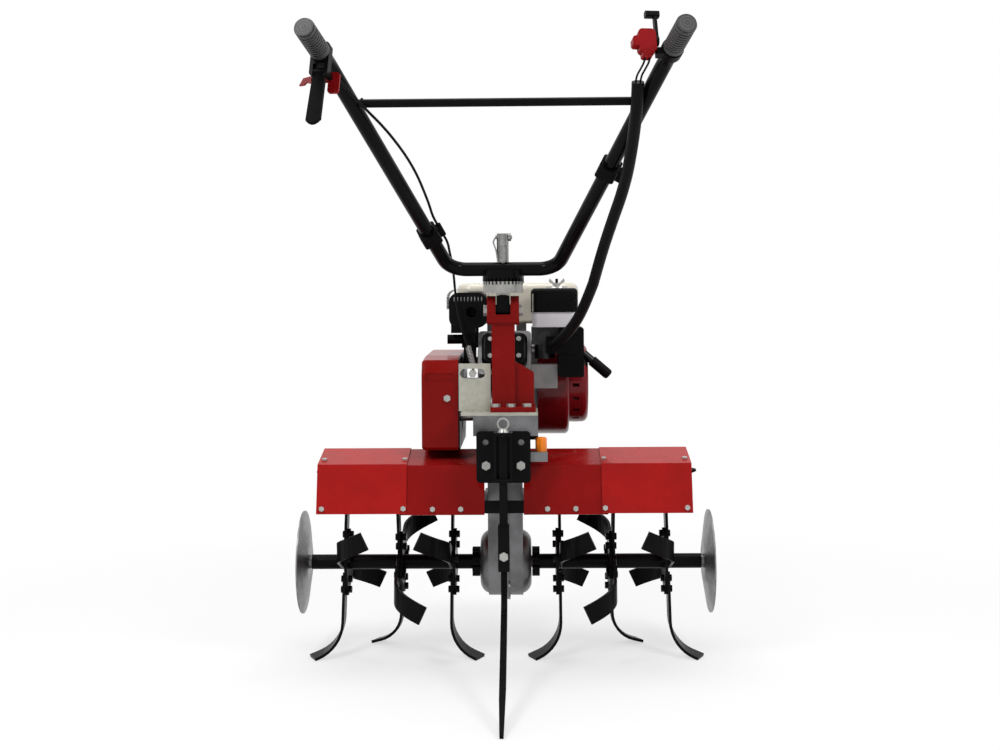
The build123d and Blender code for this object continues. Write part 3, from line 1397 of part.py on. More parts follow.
lock_x = cheek_x - 6 - FACE_GAP
with BuildPart() as lever_lock:
    with BuildSketch(across_bar(lock_pivot, -lock_x)):
        Circle(5.5)
        with Locations((0, -LOCK_OUT / 2 - 3)):
            Rectangle(7, LOCK_OUT + 2)
        Circle(LEVER_PIN_D / 2 + RUNNING_GAP, mode=Mode.SUBTRACT)
    extrude(amount=2 * lock_x)
    with BuildSketch(clutch_plane.offset(-2 * LOCK_OUT - 5)):
        with Locations((0, -LOCK_DROP)):
            Rectangle(54, 11)
        with Locations((18, -LOCK_DROP - 7)):
            RectangleRounded(20, 38, 6)
        with BuildLine():
            Polyline((-24, -30), (-36, -33), (-42, -46), (-33, -45), (-28, -39), (-24, -41), close=True)
        make_face()
    extrude(amount=4.5)
finish("lever_lock", lever_lock.part)

throttle_pivot = throttle_plane.from_local_coords((THROTTLE_X, 16, CONTROL_LONG / 2))
with BuildPart() as throttle_body:
    with BuildSketch(throttle_plane):
        with Locations((THROTTLE_X - THROTTLE_SIZE[0] / 2, 14)):
            RectangleRounded(*THROTTLE_SIZE, 8)
        with Locations((THROTTLE_X - THROTTLE_SIZE[0], 13)):
            RectangleRounded(20, 17, 5)
        with Locations((THROTTLE_STUB_X, -8)):
            RectangleRounded(18, 14, 4)
    extrude(amount=CONTROL_LONG)
    with BuildSketch(facing(throttle_pivot, throttle_plane.x_dir)):
        Circle(LEVER_PIN_D / 2)
    extrude(amount=6)
finish("throttle_body", throttle_body.part)

throttle_face = Plane(
    origin=throttle_pivot + throttle_plane.x_dir * FACE_GAP,
    x_dir=throttle_plane.y_dir,
    z_dir=throttle_plane.x_dir,
)
with BuildPart() as throttle_lever:
    with BuildSketch(throttle_face):
        Circle(9)
        with Locations((THROTTLE_LEVER / 2, 0)):
            Rectangle(THROTTLE_LEVER, 11)
        Circle(LEVER_PIN_D / 2 + RUNNING_GAP, mode=Mode.SUBTRACT)
    extrude(amount=5)
    with BuildSketch(throttle_face.offset(-14)):
        with Locations((THROTTLE_LEVER + 2, 0)):
            RectangleRounded(11, 13, 3)
    extrude(amount=24)
finish("throttle_lever", throttle_lever.part)

# Cable clips on the arms; the left one has an ear that holds the clutch cable
def clip_plane(sign, share):
    """Plane square across an arm at the lower end of a clip."""
    way = Vector(sign * arm_way.X, arm_way.Y, arm_way.Z)
    start = bar_point(share, sign) - way * CLIP_LONG / 2
    return Plane(origin=start, x_dir=(1, 0, -way.X / way.Z), z_dir=way)


with BuildPart() as cable_clips:
    for sign, share in ((-1, CLIP_AT[0]), (1, CLIP_AT[1])):
        with BuildSketch(clip_plane(sign, share)):
            RectangleRounded(CLIP_W, CLIP_W, 6)
            with Locations((CLIP_EAR - 4, 0)):
                RectangleRounded(CABLE_D * 4, CABLE_D * 2.4, 3)
            Circle(BAR_D / 2 + FACE_GAP, mode=Mode.SUBTRACT)
            with Locations((CLIP_EAR, 0)):
                Circle(CABLE_D / 2 + CABLE_PLAY, mode=Mode.SUBTRACT)
        extrude(amount=CLIP_LONG)
finish("cable_clips", cable_clips.part)


# Mudguards: folded sheet panels, the outer ones lapping over the inner ones
def guard_panel(x_span, shift):
    """One panel folded along the guard line."""
    with BuildPart() as panel:
        with BuildSketch(side(x_span[0])):
            with BuildLine():
                Polyline(*[(y + shift[0], z + shift[1]) for y, z in GUARD_LINE])
            trace(line_width=GUARD_T)
        extrude(amount=length(x_span))
        drill(guard_bolt_planes(), 3 + BOLT_GAP, 12)
    return panel.part


rear_fold = Vector(0, GUARD_LINE[1][0] - GUARD_LINE[0][0], GUARD_LINE[1][1] - GUARD_LINE[0][1])
rear_up = rear_fold.normalized()
rear_out = Vector(0, -rear_up.Z, rear_up.Y)
top_fold = Vector(0, GUARD_LINE[2][0] - GUARD_LINE[1][0], GUARD_LINE[2][1] - GUARD_LINE[1][1])
top_up = top_fold.normalized()
top_out = Vector(0, -top_up.Z, top_up.Y)


def on_rear(x, height, lift):
    """Plane on the rear face of the guard, at this X and height above its lower edge."""
    spot = Vector(x, GUARD_LINE[0][0], GUARD_LINE[0][1]) + rear_up * height + rear_out * lift
    return facing(spot, rear_out)


def on_top(x, reach, lift):
    """Plane on the sloping top of the guard, at this X and distance from the crease."""
    spot = Vector(x, GUARD_LINE[1][0], GUARD_LINE[1][1]) + top_up * reach + top_out * lift
    return facing(spot, top_out)


LAP_X = middle((GUARD_OUTER_X[0], GUARD_INNER_X[1]))
EDGE_X = GUARD_OUTER_X[1] - 11
inner_bolt_x = (86.0, 142.0)
rear_seat = rear_out.dot(Vector(0, *GUARD_LAP)) + GUARD_T / 2
top_seat = top_out.dot(Vector(0, *GUARD_LAP)) + GUARD_T / 2


def guard_bolt_planes():
    """Seats of the right-hand guard bolts, standing a little off the sheet for drilling."""
    return (
        [on_rear(x, GUARD_BOLT_RISE[0], 6) for x in inner_bolt_x]
        + [on_rear(x, GUARD_BOLT_RISE[1], 6) for x in (LAP_X, EDGE_X)]
        + [on_top(x, 24, 6) for x in (LAP_X, EDGE_X)]
    )


for name, x_span, shift in (
    ("guard_inner", GUARD_INNER_X, (0, 0)),
    ("guard_outer", GUARD_OUTER_X, GUARD_LAP),
):
    with BuildPart() as panels:
        add(guard_panel(x_span, shift))
        mirror(about=Plane.YZ)
    finish(name, panels.part)

with BuildPart() as guard_support:
    bar_low = Vector(0, GUARD_LINE[0][0], GUARD_LINE[0][1])
    bar_mid = bar_low + rear_up * SUPPORT_RISE - rear_out * (GUARD_T / 2 + SUPPORT_T)
    with BuildSketch(Plane(origin=bar_mid, x_dir=(1, 0, 0), z_dir=rear_out)):
        Rectangle(2 * SUPPORT_HALF, SUPPORT_H)
    extrude(amount=SUPPORT_T)
    for sign in (-1, 1):
        block(
            sorted((sign * CASE_HALF, sign * (CASE_HALF + SUPPORT_T))),
            (bar_mid.Y + 1, -12),
            (support_z - SUPPORT_H / 2 + 2, support_z + SUPPORT_H / 2 - 2),
        )
    for sign in (-1, 1):
        drill([on_rear(sign * x, GUARD_BOLT_RISE[0], 6) for x in inner_bolt_x], 3 + BOLT_GAP, 20)
    drill(support_head_planes, 4 + BOLT_GAP, SUPPORT_T)
finish("guard_support", guard_support.part)

# Drag bar: bracket on the case, stalk with its sleeve, spur and hitch pin
channel_y = (bracket_face_y - CHANNEL_D, bracket_face_y)
stalk_y = channel_y[0] + CHANNEL_WALL + STALK_D / 2 + 1
with BuildPart() as drag_bar_bracket:
    block((-BRACKET_W / 2, BRACKET_W / 2), (bracket_face_y, HORN_REAR_Y), BRACKET_Z)
    fillet(drag_bar_bracket.edges().filter_by(Axis.Y), 8)
    for sign in (-1, 1):
        wall = sorted((sign * CHANNEL_W / 2, sign * (CHANNEL_W / 2 - CHANNEL_WALL)))
        block(wall, channel_y, (BRACKET_Z[0] + 6, BRACKET_Z[1]))
    for plate_z in (BRACKET_Z[1] - 6, BRACKET_Z[0] + 6):
        block((-CHANNEL_W / 2, CHANNEL_W / 2), channel_y, (plate_z, plate_z + 6))
    drill(bracket_head_planes, 5 + BOLT_GAP, BRACKET_T)
    hitch_planes = []
    for hole_x in (-HITCH_HOLE_X, HITCH_HOLE_X):
        hitch_planes.append(facing((hole_x, bracket_face_y, BRACKET_Z[1] - HITCH_HOLE_DROP), (0, -1, 0)))
    drill(hitch_planes, HITCH_HOLE_D / 2, BRACKET_T)
    with BuildSketch(level(BRACKET_Z[0])):
        with Locations((0, stalk_y)):
            Rectangle(STALK_W + 2, STALK_D + 2)
    extrude(amount=20, mode=Mode.SUBTRACT)
    with BuildSketch(level(BRACKET_Z[1])):
        with Locations((0, stalk_y)):
            Circle(HITCH_PIN_D / 2 + FACE_GAP)
    extrude(amount=-8, mode=Mode.SUBTRACT)
finish("drag_bar_bracket", drag_bar_bracket.part)

stalk_top = BRACKET_Z[1] - 6 - 1
with BuildPart() as drag_bar_stalk:
    bar_y = (stalk_y - STALK_D / 2, stalk_y + STALK_D / 2)
    block((-STALK_W / 2, STALK_W / 2), bar_y, (SLEEVE_Z[1] - 10, stalk_top))
    sleeve_y = (stalk_y - SPUR_D / 2 - FACE_GAP - SLEEVE_WALL, stalk_y + SPUR_D / 2 + FACE_GAP + SLEEVE_WALL)
    block((-SLEEVE_W / 2, SLEEVE_W / 2), sleeve_y, SLEEVE_Z)
    block((-SPUR_W / 2 - FACE_GAP, SPUR_W / 2 + FACE_GAP),
          (stalk_y - SPUR_D / 2 - FACE_GAP, stalk_y + SPUR_D / 2 + FACE_GAP),
          (SLEEVE_Z[0], SLEEVE_Z[1] - 2), mode=Mode.SUBTRACT)
    with BuildSketch(level(stalk_top)):
        with Locations((0, stalk_y)):
            Circle(HITCH_PIN_D / 2 + FACE_GAP)
    extrude(amount=-60, mode=Mode.SUBTRACT)
    drill([facing((0, sleeve_y[0], middle(SLEEVE_Z) - 14), (0, -1, 0))], 5 + BOLT_GAP, SLEEVE_WALL)
finish("drag_bar_stalk", drag_bar_stalk.part)

with BuildPart() as drag_bar:
    with BuildSketch(side(-SPUR_W / 2)):
        with BuildLine():
            FilletPolyline(
                (stalk_y, SLEEVE_Z[1] - 4 - SPUR_TRAVEL),
                (stalk_y, SPUR_BEND_Z),
                (SPUR_TIP_Y, -6),
                radius=SPUR_BEND_R,
            )
        trace(line_width=SPUR_D)
    extrude(amount=SPUR_W)
    block((-50, 50), (SPUR_TIP_Y - 100, 0), (-100, 0), mode=Mode.SUBTRACT)
    with BuildSketch(rear(stalk_y)):
        for sign in (-1, 1):
            with BuildLine():
                Polyline(
                    (sign * SPUR_W / 2, SPUR_TAPER),
                    (sign * SPUR_W, SPUR_TAPER),
                    (sign * SPUR_W, 0),
                    (sign * SPUR_TIP_W / 2, 0),
                    close=True,
                )
            make_face()
    extrude(amount=stalk_y - SPUR_TIP_Y + SPUR_D, mode=Mode.SUBTRACT)
finish("drag_bar", drag_bar.part)

with BuildPart() as hitch_pin:
    with BuildSketch(level(BRACKET_Z[1])):
        with Locations((0, stalk_y)):
            Circle(HITCH_PIN_D / 2)
    extrude(amount=-58)
    with BuildSketch(level(BRACKET_Z[1])):
        with Locations((0, stalk_y)):
            Circle(11)
    extrude(amount=6, taper=30)
    with BuildSketch(rear(stalk_y + 1.5)):
        with Locations((0, BRACKET_Z[1] + 16)):
            Circle(12)
            Circle(9, mode=Mode.SUBTRACT)
    extrude(amount=3)
finish("hitch_pin", hitch_pin.part)

# Bolts of the frame
with BuildPart() as frame_bolts:
    bolts(bracket_head_planes, 10, BRACKET_T + HORN_FLANGE_T - 2)
    bolts(column_head_planes, 10, FOOT_T + SHEET_T + 25)
    bolts(support_head_planes, 8, SUPPORT_T + 20)
    drill(cradle_head_planes, 5, 30, mode=Mode.ADD)
    bolts([facing((0, sleeve_y[0], middle(SLEEVE_Z) - 14), (0, -1, 0))], 10, SLEEVE_WALL)
    pivot_plane = facing((fork_half, COLUMN_Y, PIVOT_Z), (1, 0, 0))
    bolts([pivot_plane], PIVOT_D, 2 * fork_half)
    bolts([facing((-fork_half, COLUMN_Y, PIVOT_Z), (-1, 0, 0))], PIVOT_D, 1)
    for y, z in case_bolt_spots:
        bolts([facing((RIM_T, y, z), (1, 0, 0))], CASE_BOLT_D, 2 * RIM_T)
    bolts([cover_screw], COVER_SCREW_D, COVER_WALL + COVER_RIM)
    bolts(valve_bolt_planes, VALVE_BOLT_D, VALVE_COVER_T)
    for sign in (-1, 1):
        inner_planes = [on_rear(sign * x, GUARD_BOLT_RISE[0], GUARD_T / 2) for x in inner_bolt_x]
        bolts(inner_planes, 6, GUARD_T + SUPPORT_T)
        for x, grip in ((LAP_X, 2 * GUARD_T + 2), (EDGE_X, GUARD_T + 1)):
            bolts([on_rear(sign * x, GUARD_BOLT_RISE[1], rear_seat), on_top(sign * x, 24, top_seat)], 6, grip)
    with BuildSketch(rear(BRACKET_UP_Y[1])):
        with Locations(slot_at):
            RegularPolygon(radius=8, side_count=6)
    extrude(amount=-8)
    with BuildSketch(rear(BRACKET_UP_Y[0])):
        with Locations(slot_at):
            RegularPolygon(radius=8, side_count=6)
    extrude(amount=5)
    with BuildSketch(rear(BRACKET_UP_Y[1] + ADJUSTER_OUT)):
        with Locations(slot_at):
            Circle(5)
    extrude(amount=ADJUSTER_OUT + 20)
finish("frame_bolts", frame_bolts.part)

# Cables
def cord_path(route, step):
    """Straight runs joined by wide arcs along a smooth route; its first and last runs are straight."""
    ends = (Vector(*route[0]), Vector(*route[-1]))
    inner = [Vector(*point) for point in route[1:-1]]
    curve = Spline(*inner, tangents=(inner[0] - ends[0], ends[1] - inner[-1]), mode=Mode.PRIVATE)
    runs = max(2, round(curve.length / step))
    points = [ends[0]] + [curve @ (run / runs) for run in range(runs + 1)] + [ends[1]]
    radii = []
    for before, at, after in zip(points, points[1:], points[2:]):
        turn = radians((at - before).get_angle(after - at))
        shorter = min((at - before).length, (after - at).length)
        radii.append(min(0.45 * shorter / tan(turn / 2), CORD_MAX_R))
    return FilletPolyline(*points, radius=radii, mode=Mode.PRIVATE)


def cord(route, diameter, step):
    """Round cord along a route."""
    path = cord_path(route, step)
    with BuildPart() as solid:
        with BuildSketch(path ^ 0):
            Circle(diameter / 2)
        sweep(path=path)
    return solid.part


cable_start = clutch_plane.from_local_coords((9, -18, 0))
left_clip = clip_plane(-1, CLIP_AT[0])
clutch_route = (
    tuple(cable_start),
    tuple(cable_start - clutch_plane.z_dir * 14),
    (-262, -605, 1112),
    (-232, -562, 1080),
    (-172, -465, 1020),
    tuple(left_clip.from_local_coords((CLIP_EAR, 0, CLIP_LONG + 30))),
    tuple(left_clip.from_local_coords((CLIP_EAR, 0, CLIP_LONG))),
    tuple(left_clip.from_local_coords((CLIP_EAR, 0, 0))),
    tuple(left_clip.from_local_coords((CLIP_EAR, 2, -30))),
    (-106, -172, 838),
    (-102, -134, 812),
    (-98, -116, 752),
    (-88, -110, 690),
    (slot_at[0] - 4, BRACKET_UP_Y[1] + 58, BRACKET_UP_Z + 22),
    (slot_at[0], BRACKET_UP_Y[1] + 44, slot_at[1]),
    (slot_at[0], BRACKET_UP_Y[1] + ADJUSTER_OUT, slot_at[1]),
)
finish("clutch_cable", cord(clutch_route, CABLE_D, 60))

loom_top = (241, -584, 1118)
loom_route = (
    loom_top,
    (241, -575, 1098),
    (240, -556, 1068),
    (236, -490, 1010),
    (226, -418, 945),
    (199, -330, 865),
    (178, -235, 775),
    (150, -150, 700),
    (LOOM_END[0] + 6, LOOM_END[1] - 48, LOOM_END[2] + 10),
    (LOOM_END[0], LOOM_END[1] - 16, LOOM_END[2]),
    LOOM_END,
)
strands = [cord(loom_route, LOOM_D, 70)]
for x in (-4, 4):
    exit_point = throttle_plane.from_local_coords((THROTTLE_STUB_X + x, -15, CONTROL_LONG / 2))
    thin_route = (
        tuple(exit_point),
        tuple(exit_point - throttle_plane.y_dir * 5),
        (loom_top[0] + x, loom_top[1] - 3, loom_top[2] + 8),
        (loom_top[0] + x, loom_top[1], loom_top[2] - 1),
    )
    strands.append(cord(thin_route, THIN_CABLE_D, 16))
with BuildPart() as throttle_loom:
    for strand in strands:
        add(strand)
finish("throttle_loom", throttle_loom.part)

# The origin goes to the floor under the middle of the machine
low = Vector(1e9, 1e9, 1e9)
high = Vector(-1e9, -1e9, -1e9)
for piece in finished.values():
    box = piece.bounding_box()
    low = Vector(min(low.X, box.min.X), min(low.Y, box.min.Y), min(low.Z, box.min.Z))
    high = Vector(max(high.X, box.max.X), max(high.Y, box.max.Y), max(high.Z, box.max.Z))
to_middle = Location((0, -(low.Y + high.Y) / 2, 0))
print("outline", low, high, "axle at Y", -(low.Y + high.Y) / 2)

os.makedirs("parts", exist_ok=True)
for name, piece in finished.items():
    placed = piece.moved(to_middle)
    placed.label = name
    export_step(placed, f"parts/{name}.step")
print(len(finished), "pieces")
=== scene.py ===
"""Looks of the garden tiller: paints, metals, plastics, cables and small fittings over the CAD pieces."""

import json
import math

import bpy
from mathutils import Euler, Matrix, Vector


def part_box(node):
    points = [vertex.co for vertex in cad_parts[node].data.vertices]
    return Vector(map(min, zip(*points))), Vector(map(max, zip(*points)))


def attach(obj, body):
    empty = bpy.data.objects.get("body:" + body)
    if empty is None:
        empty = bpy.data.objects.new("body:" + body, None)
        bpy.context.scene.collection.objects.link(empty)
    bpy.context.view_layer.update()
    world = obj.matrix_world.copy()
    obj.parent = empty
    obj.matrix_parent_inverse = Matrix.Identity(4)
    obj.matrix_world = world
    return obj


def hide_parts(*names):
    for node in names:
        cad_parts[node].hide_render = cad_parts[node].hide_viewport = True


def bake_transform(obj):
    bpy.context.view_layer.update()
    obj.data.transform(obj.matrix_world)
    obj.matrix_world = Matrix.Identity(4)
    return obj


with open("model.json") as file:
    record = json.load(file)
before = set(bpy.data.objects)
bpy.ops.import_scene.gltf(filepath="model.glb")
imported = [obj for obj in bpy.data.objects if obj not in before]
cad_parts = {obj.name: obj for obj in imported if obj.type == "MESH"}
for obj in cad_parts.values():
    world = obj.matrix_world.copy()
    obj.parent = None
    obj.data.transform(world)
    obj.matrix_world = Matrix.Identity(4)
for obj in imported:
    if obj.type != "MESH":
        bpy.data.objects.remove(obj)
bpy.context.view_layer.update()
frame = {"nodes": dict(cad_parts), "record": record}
nodes = frame["nodes"]
scene = bpy.context.scene

# Where the tine axle stands in the frame, in metres; other sizes are in metres too
AXLE_Y = 0.24006


def at(x, y, z):
    """Point in metres from millimetres measured from the floor below the tine axle."""
    return Vector((x / 1000, y / 1000 + AXLE_Y, z / 1000))


# Helpers for node trees
def add_node(tree, kind, **settings):
    """New node with its settings."""
    node = tree.nodes.new(kind)
    for key, value in settings.items():
        setattr(node, key, value)
    return node


def maths(tree, operation, first, second=None):
    """Math node on sockets or numbers."""
    node = add_node(tree, "ShaderNodeMath", operation=operation)
    for socket, value in zip(node.inputs, (first, second)):
        if isinstance(value, (int, float)):
            socket.default_value = value
        elif value is not None:
            tree.links.new(value, socket)
    return node.outputs[0]


def vector_maths(tree, operation, first, second=None):
    """Vector Math node on sockets. A difference is a vector, any other result is a value."""
    node = add_node(tree, "ShaderNodeVectorMath", operation=operation)
    tree.links.new(first, node.inputs[0])
    if second is not None:
        tree.links.new(second, node.inputs[1])
    return node.outputs["Vector" if operation == "SUBTRACT" else "Value"]


def mixed(tree, factor, low, high):
    """Colour mix of two sockets or colours."""
    mix = add_node(tree, "ShaderNodeMix", data_type="RGBA")
    first, second = [socket for socket in mix.inputs if socket.type == "RGBA"]
    tree.links.new(factor, mix.inputs["Factor"])
    for socket, value in ((first, low), (second, high)):
        if isinstance(value, tuple):
            socket.default_value = (*value, 1.0)
        else:
            tree.links.new(value, socket)
    return next(socket for socket in mix.outputs if socket.type == "RGBA")


def ranged(tree, source, span, result=(0.0, 1.0)):
    """Source taken from one span of values to another and held at both ends."""
    node = add_node(tree, "ShaderNodeMapRange")
    tree.links.new(source, node.inputs["Value"])
    labels = ("From Min", "From Max", "To Min", "To Max")
    for label, value in zip(labels, (*span, *result)):
        node.inputs[label].default_value = value
    return node.outputs["Result"]


# Shader groups shared by the finishes
NOISE_SPAN = (0.3, 0.7)
DUST_NOISE_SPAN = (0.42, 0.7)
DUST_SLOPE = (0.2, 1.0)

# Grips: the end face of the right one, and the radius and half width of each ring moulded in it
BAR_END = (307, -742, 1187)
ELBOW = (286.0, -622.0, 1149.0)
GRIP_CAP = 0.005
END_FACE_REACH = 0.0006
END_RINGS = ((0.014, 0.0016), (0.0085, 0.0012), (0.003, 0.0015))


def new_group(name, inputs, outputs):
    """Shader node group with named inputs and number outputs."""
    group = bpy.data.node_groups.new(name, "ShaderNodeTree")
    for label, kind, value in inputs:
        socket = group.interface.new_socket(label, in_out="INPUT", socket_type=kind)
        socket.default_value = value
    for label in outputs:
        group.interface.new_socket(label, in_out="OUTPUT", socket_type="NodeSocketFloat")
    start = group.nodes.new("NodeGroupInput")
    end = group.nodes.new("NodeGroupOutput")
    return group, start, end


def piece_place(group):
    """Coordinates on the piece itself."""
    return add_node(group, "ShaderNodeTexCoord").outputs["Object"]


def piece_noise(group, scale, detail):
    """Noise on the piece's own coordinates."""
    noise = add_node(group, "ShaderNodeTexNoise")
    noise.inputs["Detail"].default_value = detail
    group.links.new(piece_place(group), noise.inputs["Vector"])
    group.links.new(scale, noise.inputs["Scale"])
    return noise.outputs["Fac"]


def grain_group():
    """Fine noise for relief and coarse noise for the drift of colour and gloss."""
    group, start, end = new_group(
        "surface_grain",
        [("Fine Scale", "NodeSocketFloat", 400.0), ("Coarse Scale", "NodeSocketFloat", 14.0)],
        ["Fine", "Coarse"],
    )
    for label, detail in (("Fine", 3.0), ("Coarse", 5.0)):
        noise = piece_noise(group, start.outputs[label + " Scale"], detail)
        group.links.new(noise, end.inputs[label])
    return group


def dust_group():
    """Thin dust that lies on surfaces facing up, broken by noise."""
    group, start, end = new_group(
        "settled_dust",
        [("Amount", "NodeSocketFloat", 0.2), ("Scale", "NodeSocketFloat", 30.0)],
        ["Mask"],
    )
    geometry = add_node(group, "ShaderNodeNewGeometry")
    split = add_node(group, "ShaderNodeSeparateXYZ")
    group.links.new(geometry.outputs["Normal"], split.inputs[0])
    up = ranged(group, split.outputs["Z"], DUST_SLOPE)
    patches = ranged(group, piece_noise(group, start.outputs["Scale"], 6.0), DUST_NOISE_SPAN)
    film = maths(group, "MULTIPLY", maths(group, "MULTIPLY", up, patches), start.outputs["Amount"])
    group.links.new(film, end.inputs["Mask"])
    return group


def spangle_group():
    """Crystal patches of hot-dip zinc: a random grey for each patch."""
    group, start, end = new_group("zinc_spangle", [("Scale", "NodeSocketFloat", 160.0)], ["Patch"])
    cells = add_node(group, "ShaderNodeTexVoronoi")
    split = add_node(group, "ShaderNodeSeparateColor")
    group.links.new(piece_place(group), cells.inputs["Vector"])
    group.links.new(start.outputs["Scale"], cells.inputs["Scale"])
    group.links.new(cells.outputs["Color"], split.inputs["Color"])
    group.links.new(split.outputs[0], end.inputs["Patch"])
    return group


def spot_group():
    """Mask that is one inside a ball and zero outside it."""
    group, start, end = new_group(
        "spot_mask",
        [("Centre", "NodeSocketVector", (0.0, 0.0, 0.0)), ("Reach", "NodeSocketFloat", 0.03)],
        ["Mask"],
    )
    away = vector_maths(group, "DISTANCE", piece_place(group), start.outputs["Centre"])
    group.links.new(maths(group, "LESS_THAN", away, start.outputs["Reach"]), end.inputs["Mask"])
    return group


def end_ring_group():
    """Mask of the rings moulded in the end faces of the grips, which mirror each other in X; the shade of
    their grooves is painted on it.
    """
    group, start, end = new_group(
        "end_rings",
        [("Centre", "NodeSocketVector", (0.0, 0.0, 0.0)), ("Way", "NodeSocketVector", (0.0, 0.0, 1.0))],
        ["Mask"],
    )
    split = add_node(group, "ShaderNodeSeparateXYZ")
    group.links.new(piece_place(group), split.inputs[0])
    folded = add_node(group, "ShaderNodeCombineXYZ")
    group.links.new(maths(group, "ABSOLUTE", split.outputs["X"]), folded.inputs["X"])
    for side in ("Y", "Z"):
        group.links.new(split.outputs[side], folded.inputs[side])
    arm = vector_maths(group, "SUBTRACT", folded.outputs[0], start.outputs["Centre"])
    along = vector_maths(group, "DOT_PRODUCT", arm, start.outputs["Way"])
    away = vector_maths(group, "LENGTH", arm)
    on_face = maths(group, "LESS_THAN", maths(group, "ABSOLUTE", along), END_FACE_REACH)
    rings = 0.0
    for radius, half_width in END_RINGS:
        off = maths(group, "ABSOLUTE", maths(group, "SUBTRACT", away, radius))
        rings = maths(group, "ADD", maths(group, "LESS_THAN", off, half_width), rings)
    group.links.new(maths(group, "MULTIPLY", on_face, rings), end.inputs["Mask"])
    return group


grain = grain_group()
dust = dust_group()
spangle = spangle_group()
spot = spot_group()
end_rings = end_ring_group()

# Colours of the finishes
BLACK = (0.0035, 0.0035, 0.004)
RED = (0.36, 0.0055, 0.0045)
# The red of the engine's covers, made darker: painted shade
SHADED_ENGINE_RED = (0.2, 0.007, 0.012)
ZINC = (0.4, 0.397, 0.375)
DUST = (0.3, 0.28, 0.25)
# Rings on the grips' end faces, darker than the rubber: painted shade of their moulded grooves
RING_GROOVE_SHADE = (0.009, 0.009, 0.01)
COAT_ROUGH = 0.05
LIGHT_LIFT = 0.01

# Second colours inside a ball: its centre, its reach and the colour
# The tongue down in the fork's slot is coloured near-black, unlike the rest of the zinc joint
DARK_TONGUE_IN_SLOT = (at(0, -160, 722), 0.0365, BLACK)
BLACK_ROPE_GUIDE = (at(184, 88, 612), 0.02, BLACK)


def placed_group(tree, group, **values):
    """Shader group in a material, with its inputs set by their names."""
    node = add_node(tree, "ShaderNodeGroup", node_tree=group)
    for label, value in values.items():
        node.inputs[label.replace("_", " ")].default_value = value
    return node.outputs


def finish_material(name, color, rough=(0.3, 0.4), metallic=0.0, coat=0.0, shade=0.12, fine=400.0,
                    coarse=14.0, bump=0.0, bump_reach=0.0004, dusty=0.0, specular=0.5, patches=0.0,
                    other=None, ringed=False):
    """Procedural finish: colour and gloss that drift with the coarse noise, and a fine bump.

    With other, the part of the piece inside that ball has a second, unmetallic colour.
    """
    material = bpy.data.materials.new(name)
    material.use_nodes = True
    tree = material.node_tree
    bsdf = tree.nodes["Principled BSDF"]
    bsdf.inputs["Metallic"].default_value = metallic
    bsdf.inputs["Specular IOR Level"].default_value = specular
    if coat:
        bsdf.inputs["Coat Weight"].default_value = coat
        bsdf.inputs["Coat Roughness"].default_value = COAT_ROUGH
    noise = placed_group(tree, grain, Fine_Scale=fine, Coarse_Scale=coarse)
    if patches:
        drift = placed_group(tree, spangle, Scale=patches)["Patch"]
    else:
        drift = ranged(tree, noise["Coarse"], NOISE_SPAN)
    dark = tuple(part * (1 - shade) for part in color)
    light = tuple(min(1.0, part * (1 + shade) + shade * LIGHT_LIFT) for part in color)
    colour = mixed(tree, drift, dark, light)
    if dusty:
        film = placed_group(tree, dust, Amount=dusty)["Mask"]
        colour = mixed(tree, film, colour, DUST)
    if other:
        centre, reach, second_colour = other
        ball = placed_group(tree, spot, Centre=centre, Reach=reach)["Mask"]
        colour = mixed(tree, ball, colour, second_colour)
        tree.links.new(ranged(tree, ball, (0.0, 1.0), (metallic, 0.0)), bsdf.inputs["Metallic"])
    # Darker rings on the grips' end faces: painted shade of their moulded grooves
    if ringed:
        way = (at(*BAR_END) - at(*ELBOW)).normalized()
        rings = placed_group(tree, end_rings, Centre=at(*BAR_END) + way * GRIP_CAP, Way=way)["Mask"]
        colour = mixed(tree, rings, colour, RING_GROOVE_SHADE)
    tree.links.new(colour, bsdf.inputs["Base Color"])
    tree.links.new(ranged(tree, noise["Coarse"], NOISE_SPAN, rough), bsdf.inputs["Roughness"])
    if bump:
        relief = add_node(tree, "ShaderNodeBump")
        relief.inputs["Strength"].default_value = bump
        relief.inputs["Distance"].default_value = bump_reach
        tree.links.new(noise["Fine"], relief.inputs["Height"])
        tree.links.new(relief.outputs["Normal"], bsdf.inputs["Normal"])
    return material


